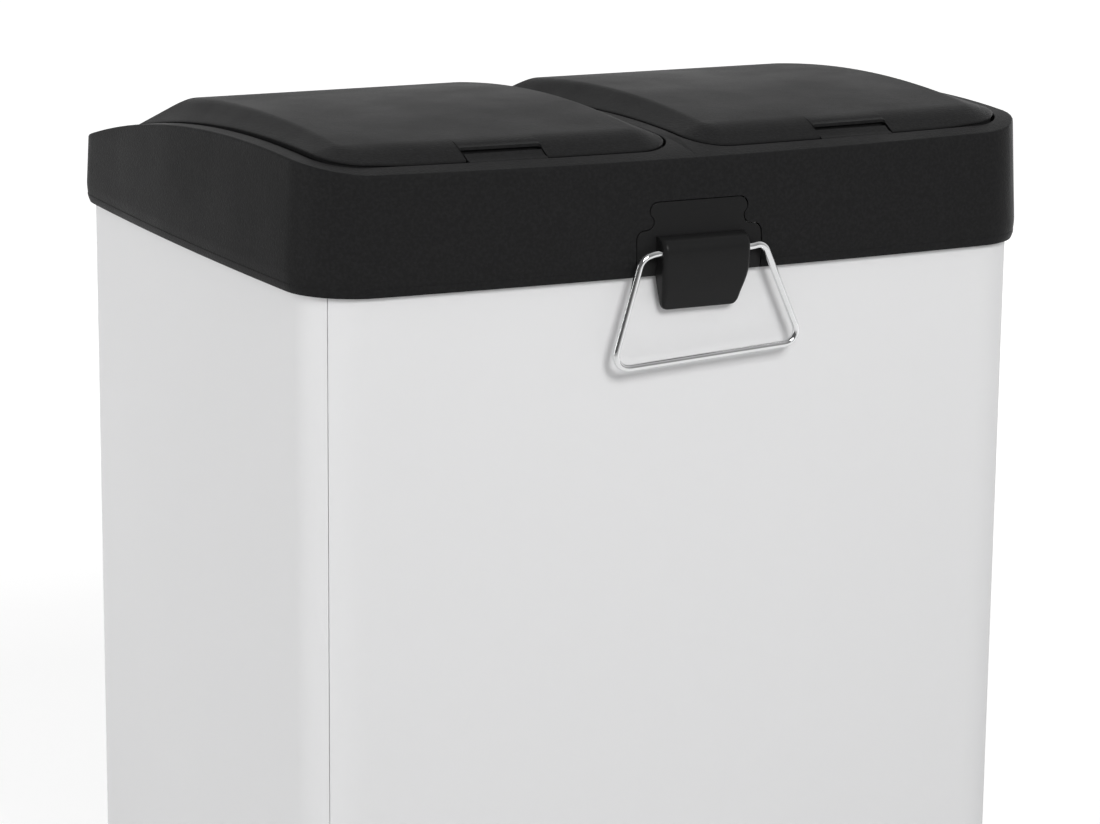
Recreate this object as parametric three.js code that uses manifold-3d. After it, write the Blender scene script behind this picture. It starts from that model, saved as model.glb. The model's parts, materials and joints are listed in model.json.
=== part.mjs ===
// Double recycling bin: a painted steel body that holds two lift-out buckets, under a moulded
// lid frame that is hinged at the back and carries two flaps and a wire bail handle.
// Millimetres, +Z up, the front of the bin looks along -Y, the floor is z = 0.

import * as THREE from 'three';
import { mergeVertices } from 'three/addons/utils/BufferGeometryUtils.js';
import Module from 'manifold-3d';

// ---------------------------------------------------------------- driving sizes

// plan of the lid frame at its lower edge, between the corner tangents
const FRAME_WIDTH = 520;
const FRAME_DEPTH = 430;
const FRAME_CORNER = 42;
const FRONT_BOW = 8;
const SIDE_BOW = 5.5;
const FRAME_BASE = 556;

// section of the lid frame
const FRAME_WALL = 2.6;
const DECK_WALL = 2.8;
const EDGE_ROUND = 13;
const EDGE_TUCK = 1.6;
const WALL_DRAFT = Math.tan(THREE.MathUtils.degToRad(3));
const FRAME_CROWN = 83.5;
const FRAME_CROWN_AT = 103;
const FRAME_REAR = 38.57;
const FRAME_ARCH = (FRAME_DEPTH - FRAME_CROWN_AT) ** 2 / (2 * (FRAME_CROWN - FRAME_REAR));
const FRONT_DROP = 4.76;
const FRONT_DROP_REACH = 45;

// flaps, their recess and their hinge
const FLAP_CROWN = 94;
const FLAP_CROWN_AT = 150;
const FLAP_CREST = 84.67;
const FLAP_WALL = 2.4;
const FLAP_FRONT = 17.6;
const REAR_DECK = 86.4;
const REAR_RAMP = 53.6;
const FLAP_REAR = FRAME_DEPTH - REAR_DECK;
const REAR_CREASE = FLAP_REAR - REAR_RAMP;
const FLAP_ARCH = (REAR_CREASE - FLAP_CROWN_AT) ** 2 / (2 * (FLAP_CROWN - FLAP_CREST));
const FLAP_INNER = 7;
const FLAP_OUTER = 242.5;
const FLAP_FRONT_RADIUS = 25;
const FLAP_REAR_RADIUS = 12;
const CHAMFER_RUN = 17;
const CREASE_RADIUS = 9;
const FLAP_GAP = 1.6;
const RECESS_DEPTH = 5;
const RECESS_WALL = 2.4;
const LEDGE_WIDTH = 9;
const SEAT_GAP = 0.4;
const NOTCH_WIDTH = 54.6;
const NOTCH_DEPTH = 10.4;
const NOTCH_GAP = 0.55;
const NOTCH_SLOT = 2.5;
const RAMP_SINK = 0.6;
const LIP_RISE = 0.9;
const LIP_LENGTH = 6.5;
const FLAP_AXIS_BACK = 5.4;
const FLAP_AXIS_DROP = 3.7;
const FLAP_BARREL = 4.2;
const ROD_RADIUS = 2;
const PIN_CLEARANCE = 0.3;
const TROUGH_CLEARANCE = 2.1;
const LUG_WIDTH = 12;
const LUG_GAP = 0.5;
const KNUCKLE_END = 3;
const LUG_SPREAD = 60;
const RIB = 1.6;
const RIB_HEIGHT = 6;
const RIB_PITCH = 110;
const RIB_MARGIN = 24;
const FRAME_RIB_PITCH = 140;
const FRAME_RIB_AT = 135;
const FRAME_RIB_SPREAD = 150;

// steel body
const BODY_STEP = 6;
const SHEET = 1;
const SKIRT_OVERLAP = 30;
const SEAM_GAP = 0.5;
const FIT = 0.3;
const PLINTH_HEIGHT = 14;
const FOOT_HEIGHT = 4;

// support rail and buckets
const RAIL_PLATE = 2.5;
const RAIL_SKIRT = 24;
const RAIL_WALL = 2.2;
const RAIL_MARGIN = 24;
const CROSSBAR_WIDTH = 18;
const CROSSBAR_DEPTH = 20;
const BUCKET_CLEARANCE = 1;
const BUCKET_FLANGE = 7;
const BUCKET_WALL = 2;
const BUCKET_RIM = 3;
const BUCKET_CORNER = 30;
const BUCKET_TAPER = 14;
const BUCKET_HEIGHT = 500;
const PAD_RADIUS = 6;
const PAD_HEIGHT = 3;
const PAD_STEM = 2.2;
const PAD_INSET = 23;

// base tray and feet
const TRAY_WALL = 2.4;
const TRAY_FLOOR = 3;
const TRAY_UPSTAND = 36;
const TRAY_RIB = 2;
const TRAY_RIB_HEIGHT = 8;
const TRAY_RIB_PITCH = 120;
const FOOT_RADIUS = 15;
const FOOT_INSET = 45;
const FOOT_POCKET = 2;

// rear hinge of the lid frame
const HINGE_SPREAD = 150;
const HINGE_DROP = 9.5;
const HINGE_LUG_WIDTH = 20;
const HINGE_BARREL = 4.4;
const HINGE_PIN = 2;
const BRACKET_SHEET = 1.5;
const BRACKET_WIDTH = 46;
const BRACKET_DROP = 38;
const EAR_SHEET = 2;
const EAR_RADIUS = 5;
const EAR_GAP = 0.6;
const PIN_HEAD = 3.4;
const PIN_HEAD_LENGTH = 1.2;
const RIVET_RADIUS = 1.6;
const RIVET_HEAD = 3.4;
const RIVET_HEAD_HEIGHT = 1.3;
const RIVET_DROP = 28;
const RIVET_SPREAD = 13;

// handle bracket: keyed plate, barrel and apron
const KEY_HALF_WIDTH = 44.5;
const KEY_SHOULDER = 29.3;
const KEY_NECK = 32;
const KEY_NECK_HEIGHT = 34.9;
const KEY_EAR = 34.8;
const KEY_HEIGHT = 46.7;
const KEY_RADIUS = 6;
const KEY_GAP = 0.35;
const FLANGE_HALF_WIDTH = 48.5;
const FLANGE_BOTTOM = 34.5;
const FLANGE_TOP = 58.5;
const FLANGE_WALL = 2.2;
const SCREW_SPREAD = 26;
const SCREW_HEIGHT = 52.5;
const SCREW_BOSS = 4.5;
const SCREW_HEAD = 5.6;
const SCREW_HEAD_HEIGHT = 2;
const SCREW_RADIUS = 1.75;
const BARREL_HALF = 31;
const BARREL_DEPTH = 11.5;
const BARREL_TOP = 25.5;
const APRON_DROP = 21.5;
const APRON_HALF = 25.5;
const APRON_TIP = 1;
const APRON_WALL = 3;
const PLATE_BITE = 1.2;
const PIVOT_HEIGHT = 15.8;
const PIVOT_FORWARD = 6.1;

// bail handle
const WIRE = 1.95;
const BAIL_SOCKET = 9;
const BAIL_SHOULDER = 43.2;
const BAIL_SHOULDER_DROP = 0.6;
const BAIL_HALF = 68.7;
const BAIL_DROP = 68.2;
const BAIL_BEND = 9;
const BAIL_SKEW = THREE.MathUtils.degToRad(3);

// facets
const SHOWN = { cornerSteps: 6, sideSteps: 6 };
const HIDDEN = { cornerSteps: 4, sideSteps: 2 };
const ARCH_STEP = 42;
const ROUND = 12;
const CURVE_STEPS = 5;
const WIRE_SIDES = 8;
const BEND_STEPS = 3;

// ---------------------------------------------------------------- solids

const kernel = await Module();
kernel.setup();

// a closed three.js geometry as a solid that can be joined and cut
function toSolid(geometry) {
  const bare = geometry.clone();
  bare.deleteAttribute('normal');
  bare.deleteAttribute('uv');
  const welded = mergeVertices(bare, 1e-4);
  return new kernel.Manifold(new kernel.Mesh({
    numProp: 3,
    vertProperties: Float32Array.from(welded.attributes.position.array),
    triVerts: Uint32Array.from(welded.index.array),
  }));
}

function toGeometry(solid) {
  const mesh = solid.getMesh();
  const geometry = new THREE.BufferGeometry();
  geometry.setAttribute('position', new THREE.BufferAttribute(mesh.vertProperties, 3));
  geometry.setIndex(new THREE.BufferAttribute(mesh.triVerts, 1));
  const flat = geometry.toNonIndexed();
  flat.computeVertexNormals();
  return flat;
}

function join(first, ...others) {
  return others.reduce((whole, part) => whole.add(part), first);
}

function cut(first, ...others) {
  return others.reduce((whole, part) => whole.subtract(part), first);
}

// rings of equal count, counter-clockwise from above, from the lowest to the highest
function loft(rings) {
  const count = rings[0].length;
  const points = rings.flat();
  const centre = (ring) => ring.reduce((sum, p) => sum.add(p), new THREE.Vector3()).divideScalar(count);
  const bottom = points.length;
  const top = bottom + 1;
  points.push(centre(rings[0]), centre(rings[rings.length - 1]));
  const faces = [];
  for (let level = 0; level < rings.length - 1; level += 1) {
    for (let i = 0; i < count; i += 1) {
      const a = level * count + i;
      const b = level * count + (i + 1) % count;
      faces.push(a, b, b + count, a, b + count, a + count);
    }
  }
  const last = (rings.length - 1) * count;
  for (let i = 0; i < count; i += 1) {
    const next = (i + 1) % count;
    faces.push(bottom, next, i, top, last + i, last + next);
  }
  const geometry = new THREE.BufferGeometry();
  geometry.setAttribute('position', new THREE.Float32BufferAttribute(points.flatMap((p) => p.toArray()), 3));
  geometry.setIndex(faces);
  return toSolid(geometry);
}

// a rounded rectangle, started at the middle of its front left corner
function roundedLoop({ left, right, front, back, frontRadius, backRadius }, facets = SHOWN) {
  const loop = [];
  const arc = (x, y, radius, from, to) => {
    const steps = Math.round((to - from) / (Math.PI / 2) * facets.cornerSteps);
    for (let i = 0; i < steps; i += 1) {
      const angle = from + (to - from) * i / steps;
      loop.push(new THREE.Vector2(x + radius * Math.cos(angle), y + radius * Math.sin(angle)));
    }
  };
  const edge = (x0, y0, x1, y1) => {
    for (let i = 0; i < facets.sideSteps; i += 1) {
      loop.push(new THREE.Vector2(x0 + (x1 - x0) * i / facets.sideSteps, y0 + (y1 - y0) * i / facets.sideSteps));
    }
  };
  const quarter = Math.PI / 2;
  arc(left + frontRadius, front + frontRadius, frontRadius, 2.5 * quarter, 3 * quarter);
  edge(left + frontRadius, front, right - frontRadius, front);
  arc(right - frontRadius, front + frontRadius, frontRadius, 3 * quarter, 4 * quarter);
  edge(right, front + frontRadius, right, back - backRadius);
  arc(right - backRadius, back - backRadius, backRadius, 0, quarter);
  edge(right - backRadius, back, left + backRadius, back);
  arc(left + backRadius, back - backRadius, backRadius, quarter, 2 * quarter);
  edge(left, back - backRadius, left, front + frontRadius);
  arc(left + frontRadius, front + frontRadius, frontRadius, 2 * quarter, 2.5 * quarter);
  return loop;
}

const MID_FRONT_RIGHT = SHOWN.cornerSteps + SHOWN.sideSteps;

// the sides of the whole bin bow outwards: a point of the straight plan moves with them
function bowed(place) {
  const across = place.x / (FRAME_WIDTH / 2);
  const along = place.y / (FRAME_DEPTH / 2);
  return new THREE.Vector2(
    place.x + across * SIDE_BOW * (1 - along * along),
    place.y + Math.min(along, 0) * FRONT_BOW * (1 - across * across),
  );
}

// a plan loop with the bow, set at a height or on a surface z = height(y)
function lift(loop, height) {
  const level = typeof height === 'function' ? height : () => height;
  return loop.map(bowed).map((p) => new THREE.Vector3(p.x, p.y, level(p.y)));
}

function prism(loop, bottom, top) {
  return loft([lift(loop, bottom), lift(loop, top)]);
}

function block(x0, x1, y0, y1, z0, z1) {
  const box = new THREE.BoxGeometry(x1 - x0, y1 - y0, z1 - z0);
  box.translate((x0 + x1) / 2, (y0 + y1) / 2, (z0 + z1) / 2);
  return toSolid(box);
}

// an outline in the Y-Z plane, run along X
function alongX(outline, x0, x1) {
  const shape = outline instanceof THREE.Shape ? outline : new THREE.Shape(outline);
  const geometry = new THREE.ExtrudeGeometry(shape, { depth: x1 - x0, bevelEnabled: false, curveSegments: CURVE_STEPS });
  geometry.applyMatrix4(new THREE.Matrix4().makeBasis(
    new THREE.Vector3(0, 1, 0),
    new THREE.Vector3(0, 0, 1),
    new THREE.Vector3(1, 0, 0),
  ));
  geometry.translate(x0, 0, 0);
  return toSolid(geometry);
}

// an outline in the X-Z plane, run from yBack towards the front
function alongY(shape, yBack, yFront) {
  const geometry = new THREE.ExtrudeGeometry(shape, {
    depth: yBack - yFront,
    bevelEnabled: false,
    curveSegments: CURVE_STEPS,
  });
  geometry.applyMatrix4(new THREE.Matrix4().makeBasis(
    new THREE.Vector3(1, 0, 0),
    new THREE.Vector3(0, 0, 1),
    new THREE.Vector3(0, -1, 0),
  ));
  geometry.translate(0, yBack, 0);
  return toSolid(geometry);
}

function rodAlongX(radius, x0, x1, y, z) {
  const geometry = new THREE.CylinderGeometry(radius, radius, x1 - x0, ROUND);
  geometry.rotateZ(Math.PI / 2);
  geometry.translate((x0 + x1) / 2, y, z);
  return toSolid(geometry);
}

function rodAlongY(radius, y0, y1, x, z) {
  const geometry = new THREE.CylinderGeometry(radius, radius, y1 - y0, ROUND);
  geometry.translate(x, (y0 + y1) / 2, z);
  return toSolid(geometry);
}

function rodAlongZ(radius, z0, z1, x, y) {
  const geometry = new THREE.CylinderGeometry(radius, radius, z1 - z0, ROUND);
  geometry.rotateX(Math.PI / 2);
  geometry.translate(x, y, (z0 + z1) / 2);
  return toSolid(geometry);
}

function mirrorX(solid) {
  const mesh = solid.getMesh();
  const moved = mesh.vertProperties.map((value, i) => (i % 3 === 0 ? -value : value));
  const faces = Uint32Array.from(mesh.triVerts);
  for (let i = 0; i < faces.length; i += 3) {
    const first = faces[i];
    faces[i] = faces[i + 1];
    faces[i + 1] = first;
  }
  return new kernel.Manifold(new kernel.Mesh({ numProp: 3, vertProperties: moved, triVerts: faces }));
}

// ---------------------------------------------------------------- shared forms

const FRONT = -FRAME_DEPTH / 2;
const REAR = FRAME_DEPTH / 2;
const FACE = FRONT - FRONT_BOW;
const LOFT_TOP = FLAP_CROWN + 20;

// height over the frame's lower edge of the frame's and the flaps' tops, at a place y
function frameTop(y) {
  const back = y - FRONT;
  const arch = FRAME_CROWN - (back - FRAME_CROWN_AT) ** 2 / (2 * FRAME_ARCH);
  const drop = FRONT_DROP * Math.max(0, 1 - back / FRONT_DROP_REACH) ** 2;
  return arch - drop;
}

function flapTop(y) {
  const back = y - FRONT;
  return FLAP_CROWN - (back - FLAP_CROWN_AT) ** 2 / (2 * FLAP_ARCH);
}

// height of a flap's front chamfer at the middle of the flap
function flapFaceZ(y) {
  const slope = (flapTop(NOTCH_EDGE + CHAMFER_RUN) - frameTop(NOTCH_EDGE)) / CHAMFER_RUN;
  return Math.min(frameTop(NOTCH_EDGE) + slope * (y - NOTCH_EDGE), flapTop(y));
}

// everything under a curved top, over the whole width
function under(top, lowered) {
  const points = [];
  const count = Math.round((FRAME_DEPTH + 60) / ARCH_STEP);
  for (let i = 0; i <= count; i += 1) {
    const y = FRONT - 30 + (FRAME_DEPTH + 60) * i / count;
    points.push(new THREE.Vector2(y, top(y) - lowered));
  }
  points.push(new THREE.Vector2(REAR + 30, -60), new THREE.Vector2(FRONT - 30, -60));
  return alongX(points.reverse(), -FRAME_WIDTH, FRAME_WIDTH);
}

function planLoop(inset, facets) {
  return roundedLoop({
    left: -FRAME_WIDTH / 2 + inset,
    right: FRAME_WIDTH / 2 - inset,
    front: FRONT + inset,
    back: REAR - inset,
    frontRadius: FRAME_CORNER - inset,
    backRadius: FRAME_CORNER - inset,
  }, facets);
}

// the frame's drafted outside, its lower edge tucked in, moved in by a wall
function frameLoft(wall) {
  const tuck = wall > 0 ? EDGE_TUCK / 2 : EDGE_TUCK;
  const rings = [
    [wall + tuck, wall > 0 ? -1 : 0],
    [wall + tuck * 0.32, EDGE_ROUND * 0.4],
    [wall, EDGE_ROUND],
    [wall + (LOFT_TOP - EDGE_ROUND) * WALL_DRAFT, LOFT_TOP],
  ];
  return loft(rings.map(([inset, height]) => lift(planLoop(inset), height)));
}

function flapLoop(grow, facets) {
  return roundedLoop({
    left: FLAP_INNER - grow,
    right: FLAP_OUTER + grow,
    front: FRONT + FLAP_FRONT - grow,
    back: FRONT + FLAP_REAR + grow,
    frontRadius: FLAP_FRONT_RADIUS + grow,
    backRadius: FLAP_REAR_RADIUS + grow,
  }, facets);
}

function creaseLoop(grow, facets) {
  return roundedLoop({
    left: FLAP_INNER + CHAMFER_RUN - grow,
    right: FLAP_OUTER - CHAMFER_RUN + grow,
    front: FRONT + FLAP_FRONT + CHAMFER_RUN - grow,
    back: FRONT + REAR_CREASE + grow,
    frontRadius: CREASE_RADIUS,
    backRadius: CREASE_RADIUS,
  }, facets);
}

const FLAP_CENTRE = (FLAP_INNER + FLAP_OUTER) / 2;
const NOTCH_EDGE = bowed(new THREE.Vector2(FLAP_CENTRE, FRONT + FLAP_FRONT)).y;
const FLAP_AXIS_Y = FRONT + FLAP_REAR + FLAP_AXIS_BACK;
const FLAP_AXIS_Z = frameTop(FLAP_AXIS_Y) - FLAP_AXIS_DROP;
const LUGS = [FLAP_CENTRE - LUG_SPREAD, FLAP_CENTRE + LUG_SPREAD];
const TROUGH_RADIUS = FLAP_BARREL + TROUGH_CLEARANCE;
const HINGE_Y = REAR - BODY_STEP + FIT + BRACKET_SHEET + SEAT_GAP + HINGE_BARREL;
const PIVOT_Y = FACE - PIVOT_FORWARD;
const RAIL_TOP = SKIRT_OVERLAP + FIT + RAIL_PLATE;
const PAD_TOP = RAIL_TOP + FIT + PAD_HEIGHT;
const BODY_TOP = FRAME_BASE + SKIRT_OVERLAP;
const PADS = [-1, 1].flatMap((side) => [FRONT + PAD_INSET, REAR - PAD_INSET].map((y) => (
  new THREE.Vector2(side * (FRAME_WIDTH / 2 - PAD_INSET), y)
)));

// inside face of the front wall at the middle of the bin, at a height over the lower edge
function innerWallY(height) {
  return FACE + FRAME_WALL + (height - EDGE_ROUND) * WALL_DRAFT;
}

// front of the bracket's flange, clear of the wall where it bows back at the flange's ends
const FLANGE_FACE = innerWallY(FLANGE_TOP) + FIT + FRONT_BOW * (FLANGE_HALF_WIDTH / (FRAME_WIDTH / 2)) ** 2;

// ---------------------------------------------------------------- lid frame

function keyShape(grow) {
  const half = KEY_HALF_WIDTH + grow;
  const neck = KEY_NECK + grow;
  const ear = KEY_EAR + grow;
  const shoulder = KEY_SHOULDER + grow;
  const top = KEY_HEIGHT + grow;
  const round = KEY_RADIUS;
  const shape = new THREE.Shape();
  shape.moveTo(-half, -2);
  shape.lineTo(half, -2);
  shape.lineTo(half, shoulder - round);
  shape.absarc(half - round, shoulder - round, round, 0, Math.PI / 2);
  shape.bezierCurveTo(neck + 3, shoulder, neck, shoulder + 1.5, neck, KEY_NECK_HEIGHT);
  shape.bezierCurveTo(neck, KEY_NECK_HEIGHT + 3, ear, KEY_NECK_HEIGHT + 3, ear, top - round);
  shape.absarc(ear - round, top - round, round, 0, Math.PI / 2);
  shape.lineTo(-ear + round, top);
  shape.absarc(-ear + round, top - round, round, Math.PI / 2, Math.PI);
  shape.bezierCurveTo(-ear, KEY_NECK_HEIGHT + 3, -neck, KEY_NECK_HEIGHT + 3, -neck, KEY_NECK_HEIGHT);
  shape.bezierCurveTo(-neck, shoulder + 1.5, -neck - 3, shoulder, -half + round, shoulder);
  shape.absarc(-half + round, shoulder - round, round, Math.PI / 2, Math.PI);
  return shape;
}

// ribs, seats and gussets under the deck, still running through the outer walls
function frameStiffeners() {
  const ribs = [];
  const side = FRAME_WIDTH / 2 + SIDE_BOW;
  const bottom = PAD_TOP + FIT;
  for (const y of [FRONT + FRAME_RIB_AT, FRONT + FRAME_RIB_AT + FRAME_RIB_PITCH]) {
    ribs.push(block(-side, -FLAP_OUTER - FLAP_GAP, y, y + RIB, bottom, LOFT_TOP));
    ribs.push(block(FLAP_OUTER + FLAP_GAP, side, y, y + RIB, bottom, LOFT_TOP));
  }
  for (const x of [-FRAME_RIB_SPREAD - RIB, FRAME_RIB_SPREAD]) {
    ribs.push(block(x, x + RIB, FACE, FRONT + FLAP_FRONT - FLAP_GAP, bottom, LOFT_TOP));
    ribs.push(block(x, x + RIB, FLAP_AXIS_Y + TROUGH_RADIUS, REAR, bottom + FIT, LOFT_TOP));
  }
  for (const pad of PADS.map(bowed)) {
    ribs.push(rodAlongZ(PAD_RADIUS, bottom, LOFT_TOP, pad.x, pad.y));
  }
  return ribs;
}

// the half on the right: recess, ledge, trough and opening for one flap
function recessParts() {
  const x0 = FLAP_INNER - FLAP_GAP;
  const x1 = FLAP_OUTER + FLAP_GAP;
  const troughFloor = FLAP_AXIS_Z - TROUGH_RADIUS;
  const troughRear = FLAP_AXIS_Y + TROUGH_RADIUS;
  const troughFront = FLAP_AXIS_Y - TROUGH_RADIUS;
  const wall = RECESS_WALL;
  const floor = RECESS_DEPTH + DECK_WALL;
  const tray = prism(flapLoop(FLAP_GAP + wall, HIDDEN), 0, LOFT_TOP).subtract(under(frameTop, floor));
  const troughLoop = (grow) => roundedLoop({
    left: x0 - grow,
    right: x1 + grow,
    front: troughFront - grow,
    back: troughRear + grow,
    frontRadius: 1 + grow,
    backRadius: 1 + grow,
  }, HIDDEN);
  const trough = prism(troughLoop(wall), troughFloor - wall, LOFT_TOP);
  const recess = prism(flapLoop(FLAP_GAP), 0, LOFT_TOP).subtract(under(frameTop, RECESS_DEPTH));
  const opening = roundedLoop({
    left: x0 + LEDGE_WIDTH,
    right: x1 - LEDGE_WIDTH,
    front: FRONT + FLAP_FRONT + LEDGE_WIDTH + 2,
    back: troughFront - wall,
    frontRadius: FLAP_FRONT_RADIUS - LEDGE_WIDTH,
    backRadius: 4,
  }, HIDDEN);
  return {
    added: join(tray, trough),
    removed: join(
      recess,
      prism(opening, 0, LOFT_TOP),
      prism(troughLoop(0), troughFloor, LOFT_TOP),
    ),
  };
}

// the raised ramp that fills the finger notch of a flap
function notchRamp() {
  const half = NOTCH_WIDTH / 2 - NOTCH_GAP;
  const start = NOTCH_EDGE - FLAP_GAP - 1;
  const end = NOTCH_EDGE + NOTCH_DEPTH - NOTCH_SLOT;
  const base = frameTop(start) - RECESS_DEPTH - 1;
  const outline = [
    new THREE.Vector2(start, base),
    new THREE.Vector2(end, base),
    new THREE.Vector2(end, flapFaceZ(end) - RAMP_SINK),
    new THREE.Vector2(NOTCH_EDGE - FLAP_GAP, frameTop(NOTCH_EDGE - FLAP_GAP)),
    new THREE.Vector2(start, frameTop(start)),
  ];
  return alongX(outline, FLAP_CENTRE - half, FLAP_CENTRE + half);
}

function flapLugs() {
  return LUGS.map((x) => {
    const foot = FLAP_AXIS_Z - TROUGH_RADIUS - 1;
    const x0 = x - LUG_WIDTH / 2;
    const x1 = x + LUG_WIDTH / 2;
    const post = block(x0, x1, FLAP_AXIS_Y - FLAP_BARREL, FLAP_AXIS_Y + FLAP_BARREL, foot, FLAP_AXIS_Z);
    const eye = rodAlongX(FLAP_BARREL, x0, x1, FLAP_AXIS_Y, FLAP_AXIS_Z);
    const hole = rodAlongX(ROD_RADIUS + PIN_CLEARANCE, x0 - 1, x1 + 1, FLAP_AXIS_Y, FLAP_AXIS_Z);
    return post.add(eye).subtract(hole);
  });
}

// lugs that hang from the rear edge and turn on the hinge pins
function frameHingeLug(side) {
  const x = side * HINGE_SPREAD;
  const x0 = x - HINGE_LUG_WIDTH / 2;
  const x1 = x + HINGE_LUG_WIDTH / 2;
  const web = block(x0, x1, HINGE_Y - HINGE_BARREL, REAR - FRAME_WALL / 2, -HINGE_DROP, EDGE_ROUND);
  const barrel = rodAlongX(HINGE_BARREL, x0, x1, HINGE_Y, -HINGE_DROP);
  const fillet = block(x0, x1, HINGE_Y - HINGE_BARREL, HINGE_Y + 1, -HINGE_DROP, -HINGE_DROP / 3);
  const hole = rodAlongX(HINGE_PIN + PIN_CLEARANCE, x0 - 1, x1 + 1, HINGE_Y, -HINGE_DROP);
  return join(barrel, web, fillet).subtract(hole);
}

function screwBoss(side) {
  const wallInside = innerWallY(SCREW_HEIGHT);
  const end = FLANGE_FACE + FLANGE_WALL;
  const boss = rodAlongY(SCREW_BOSS, wallInside - 1, end, side * SCREW_SPREAD, SCREW_HEIGHT);
  const hole = rodAlongY(SCREW_RADIUS + PIN_CLEARANCE, wallInside - 1.2, end + 1, side * SCREW_SPREAD, SCREW_HEIGHT);
  return { boss, hole };
}

function makeFrame() {
  const outside = frameLoft(0).intersect(under(frameTop, 0));
  const inside = frameLoft(FRAME_WALL).intersect(under(frameTop, DECK_WALL));
  const right = recessParts();
  const left = { added: mirrorX(right.added), removed: mirrorX(right.removed) };
  const fill = join(right.added, left.added, ...frameStiffeners()).intersect(outside);
  const shell = cut(outside, inside).add(fill).subtract(right.removed).subtract(left.removed);
  const details = [notchRamp(), ...flapLugs()];
  const fitted = join(shell, ...details, ...details.map(mirrorX));
  const key = alongY(keyShape(KEY_GAP), FACE + 20, FACE - 20);
  const screws = [-1, 1].map(screwBoss);
  const whole = join(fitted.subtract(key), frameHingeLug(-1), frameHingeLug(1), screws[0].boss, screws[1].boss);
  return cut(whole, screws[0].hole, screws[1].hole);
}

// ---------------------------------------------------------------- flaps

function flapForm(inset, lowered) {
  const facets = inset > 0 ? HIDDEN : SHOWN;
  const edge = flapLoop(-inset, facets);
  const crease = creaseLoop(inset > 0 ? -1 : 0, facets);
  const low = lift(edge, inset > 0 ? -2 : 0);
  const rim = lift(edge, (y) => frameTop(y) - lowered);
  const ridge = lift(crease, (y) => flapTop(y) - lowered);
  const beyond = ridge.map((p, i) => p.clone().lerp(rim[i], -0.3));
  const peak = beyond.map((p) => new THREE.Vector3(p.x, p.y, LOFT_TOP + 40));
  return loft([low, rim, beyond, peak]).intersect(under(flapTop, lowered));
}

function flapKnuckles() {
  const reach = LUG_WIDTH / 2 + LUG_GAP;
  const spans = [
    [FLAP_INNER + KNUCKLE_END + FLAP_REAR_RADIUS, LUGS[0] - reach],
    [LUGS[0] + reach, LUGS[1] - reach],
    [LUGS[1] + reach, FLAP_OUTER - KNUCKLE_END - FLAP_REAR_RADIUS],
  ];
  const rear = FRONT + FLAP_REAR;
  const under = FLAP_AXIS_Z + 0.6;
  const over = FLAP_AXIS_Z + FLAP_BARREL - 0.4;
  return spans.map(([x0, x1]) => {
    const barrel = rodAlongX(FLAP_BARREL, x0, x1, FLAP_AXIS_Y, FLAP_AXIS_Z);
    const web = block(x0, x1, rear - FLAP_WALL / 2, FLAP_AXIS_Y, under, over);
    const hole = rodAlongX(ROD_RADIUS + PIN_CLEARANCE, x0 - 1, x1 + 1, FLAP_AXIS_Y, FLAP_AXIS_Z);
    return barrel.add(web).subtract(hole);
  });
}

// cross ribs under the top, as on a moulded lid
function flapRibs() {
  const ribs = [];
  for (const y of [FRONT + RIB_PITCH, FRONT + 2 * RIB_PITCH]) {
    ribs.push(block(FLAP_INNER, FLAP_OUTER + SIDE_BOW, y, y + RIB, 0, LOFT_TOP));
  }
  const front = FRONT + FLAP_FRONT + CHAMFER_RUN + RIB_MARGIN;
  const back = FRONT + FLAP_REAR - RIB_MARGIN;
  ribs.push(block(FLAP_CENTRE - RIB / 2, FLAP_CENTRE + RIB / 2, front, back, 0, LOFT_TOP));
  return join(...ribs).subtract(under(flapTop, FLAP_WALL + RIB_HEIGHT));
}

function makeFlap() {
  const skin = flapForm(0, 0);
  const hollow = flapForm(FLAP_WALL, FLAP_WALL + 0.2);
  const skirtCut = under(frameTop, RECESS_DEPTH - SEAT_GAP);
  const half = NOTCH_WIDTH / 2;
  const notch = block(
    FLAP_CENTRE - half,
    FLAP_CENTRE + half,
    FACE,
    NOTCH_EDGE + NOTCH_DEPTH,
    0,
    LOFT_TOP,
  );
  const lipStart = NOTCH_EDGE + NOTCH_DEPTH;
  const lipEnd = lipStart + LIP_LENGTH;
  const lip = alongX([
    new THREE.Vector2(lipStart, flapFaceZ(lipStart) - FLAP_WALL),
    new THREE.Vector2(lipEnd, flapFaceZ(lipEnd) - FLAP_WALL),
    new THREE.Vector2(lipEnd, flapFaceZ(lipEnd) + 0.05),
    new THREE.Vector2(lipStart, flapFaceZ(lipStart) + LIP_RISE),
  ], FLAP_CENTRE - half, FLAP_CENTRE + half);
  const ribs = flapRibs().intersect(skin);
  const shell = cut(skin, hollow).add(ribs);
  return join(cut(shell, skirtCut, notch), lip, ...flapKnuckles());
}

function makeFlapRod() {
  const end = KNUCKLE_END + FLAP_REAR_RADIUS - 2;
  return rodAlongX(ROD_RADIUS, FLAP_INNER + end, FLAP_OUTER - end, FLAP_AXIS_Y, FLAP_AXIS_Z);
}

// ---------------------------------------------------------------- handle bracket and bail

function barrelSide(inset) {
  const depth = BARREL_DEPTH - inset;
  const top = BARREL_TOP - inset;
  const tip = APRON_TIP - inset;
  const bottom = -APRON_DROP + inset;
  const back = inset > 0 ? FACE + BODY_STEP : FACE + PLATE_BITE;
  const shape = new THREE.Shape();
  shape.moveTo(back, bottom);
  shape.lineTo(back, top);
  shape.lineTo(FACE - 4, top);
  shape.bezierCurveTo(FACE - depth + 3, top, FACE - depth, top - 4, FACE - depth, top - 10);
  shape.bezierCurveTo(FACE - depth, top - 24, FACE - depth * 0.7, bottom + 14, FACE - Math.max(tip, 0.4), bottom);
  return shape;
}

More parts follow.
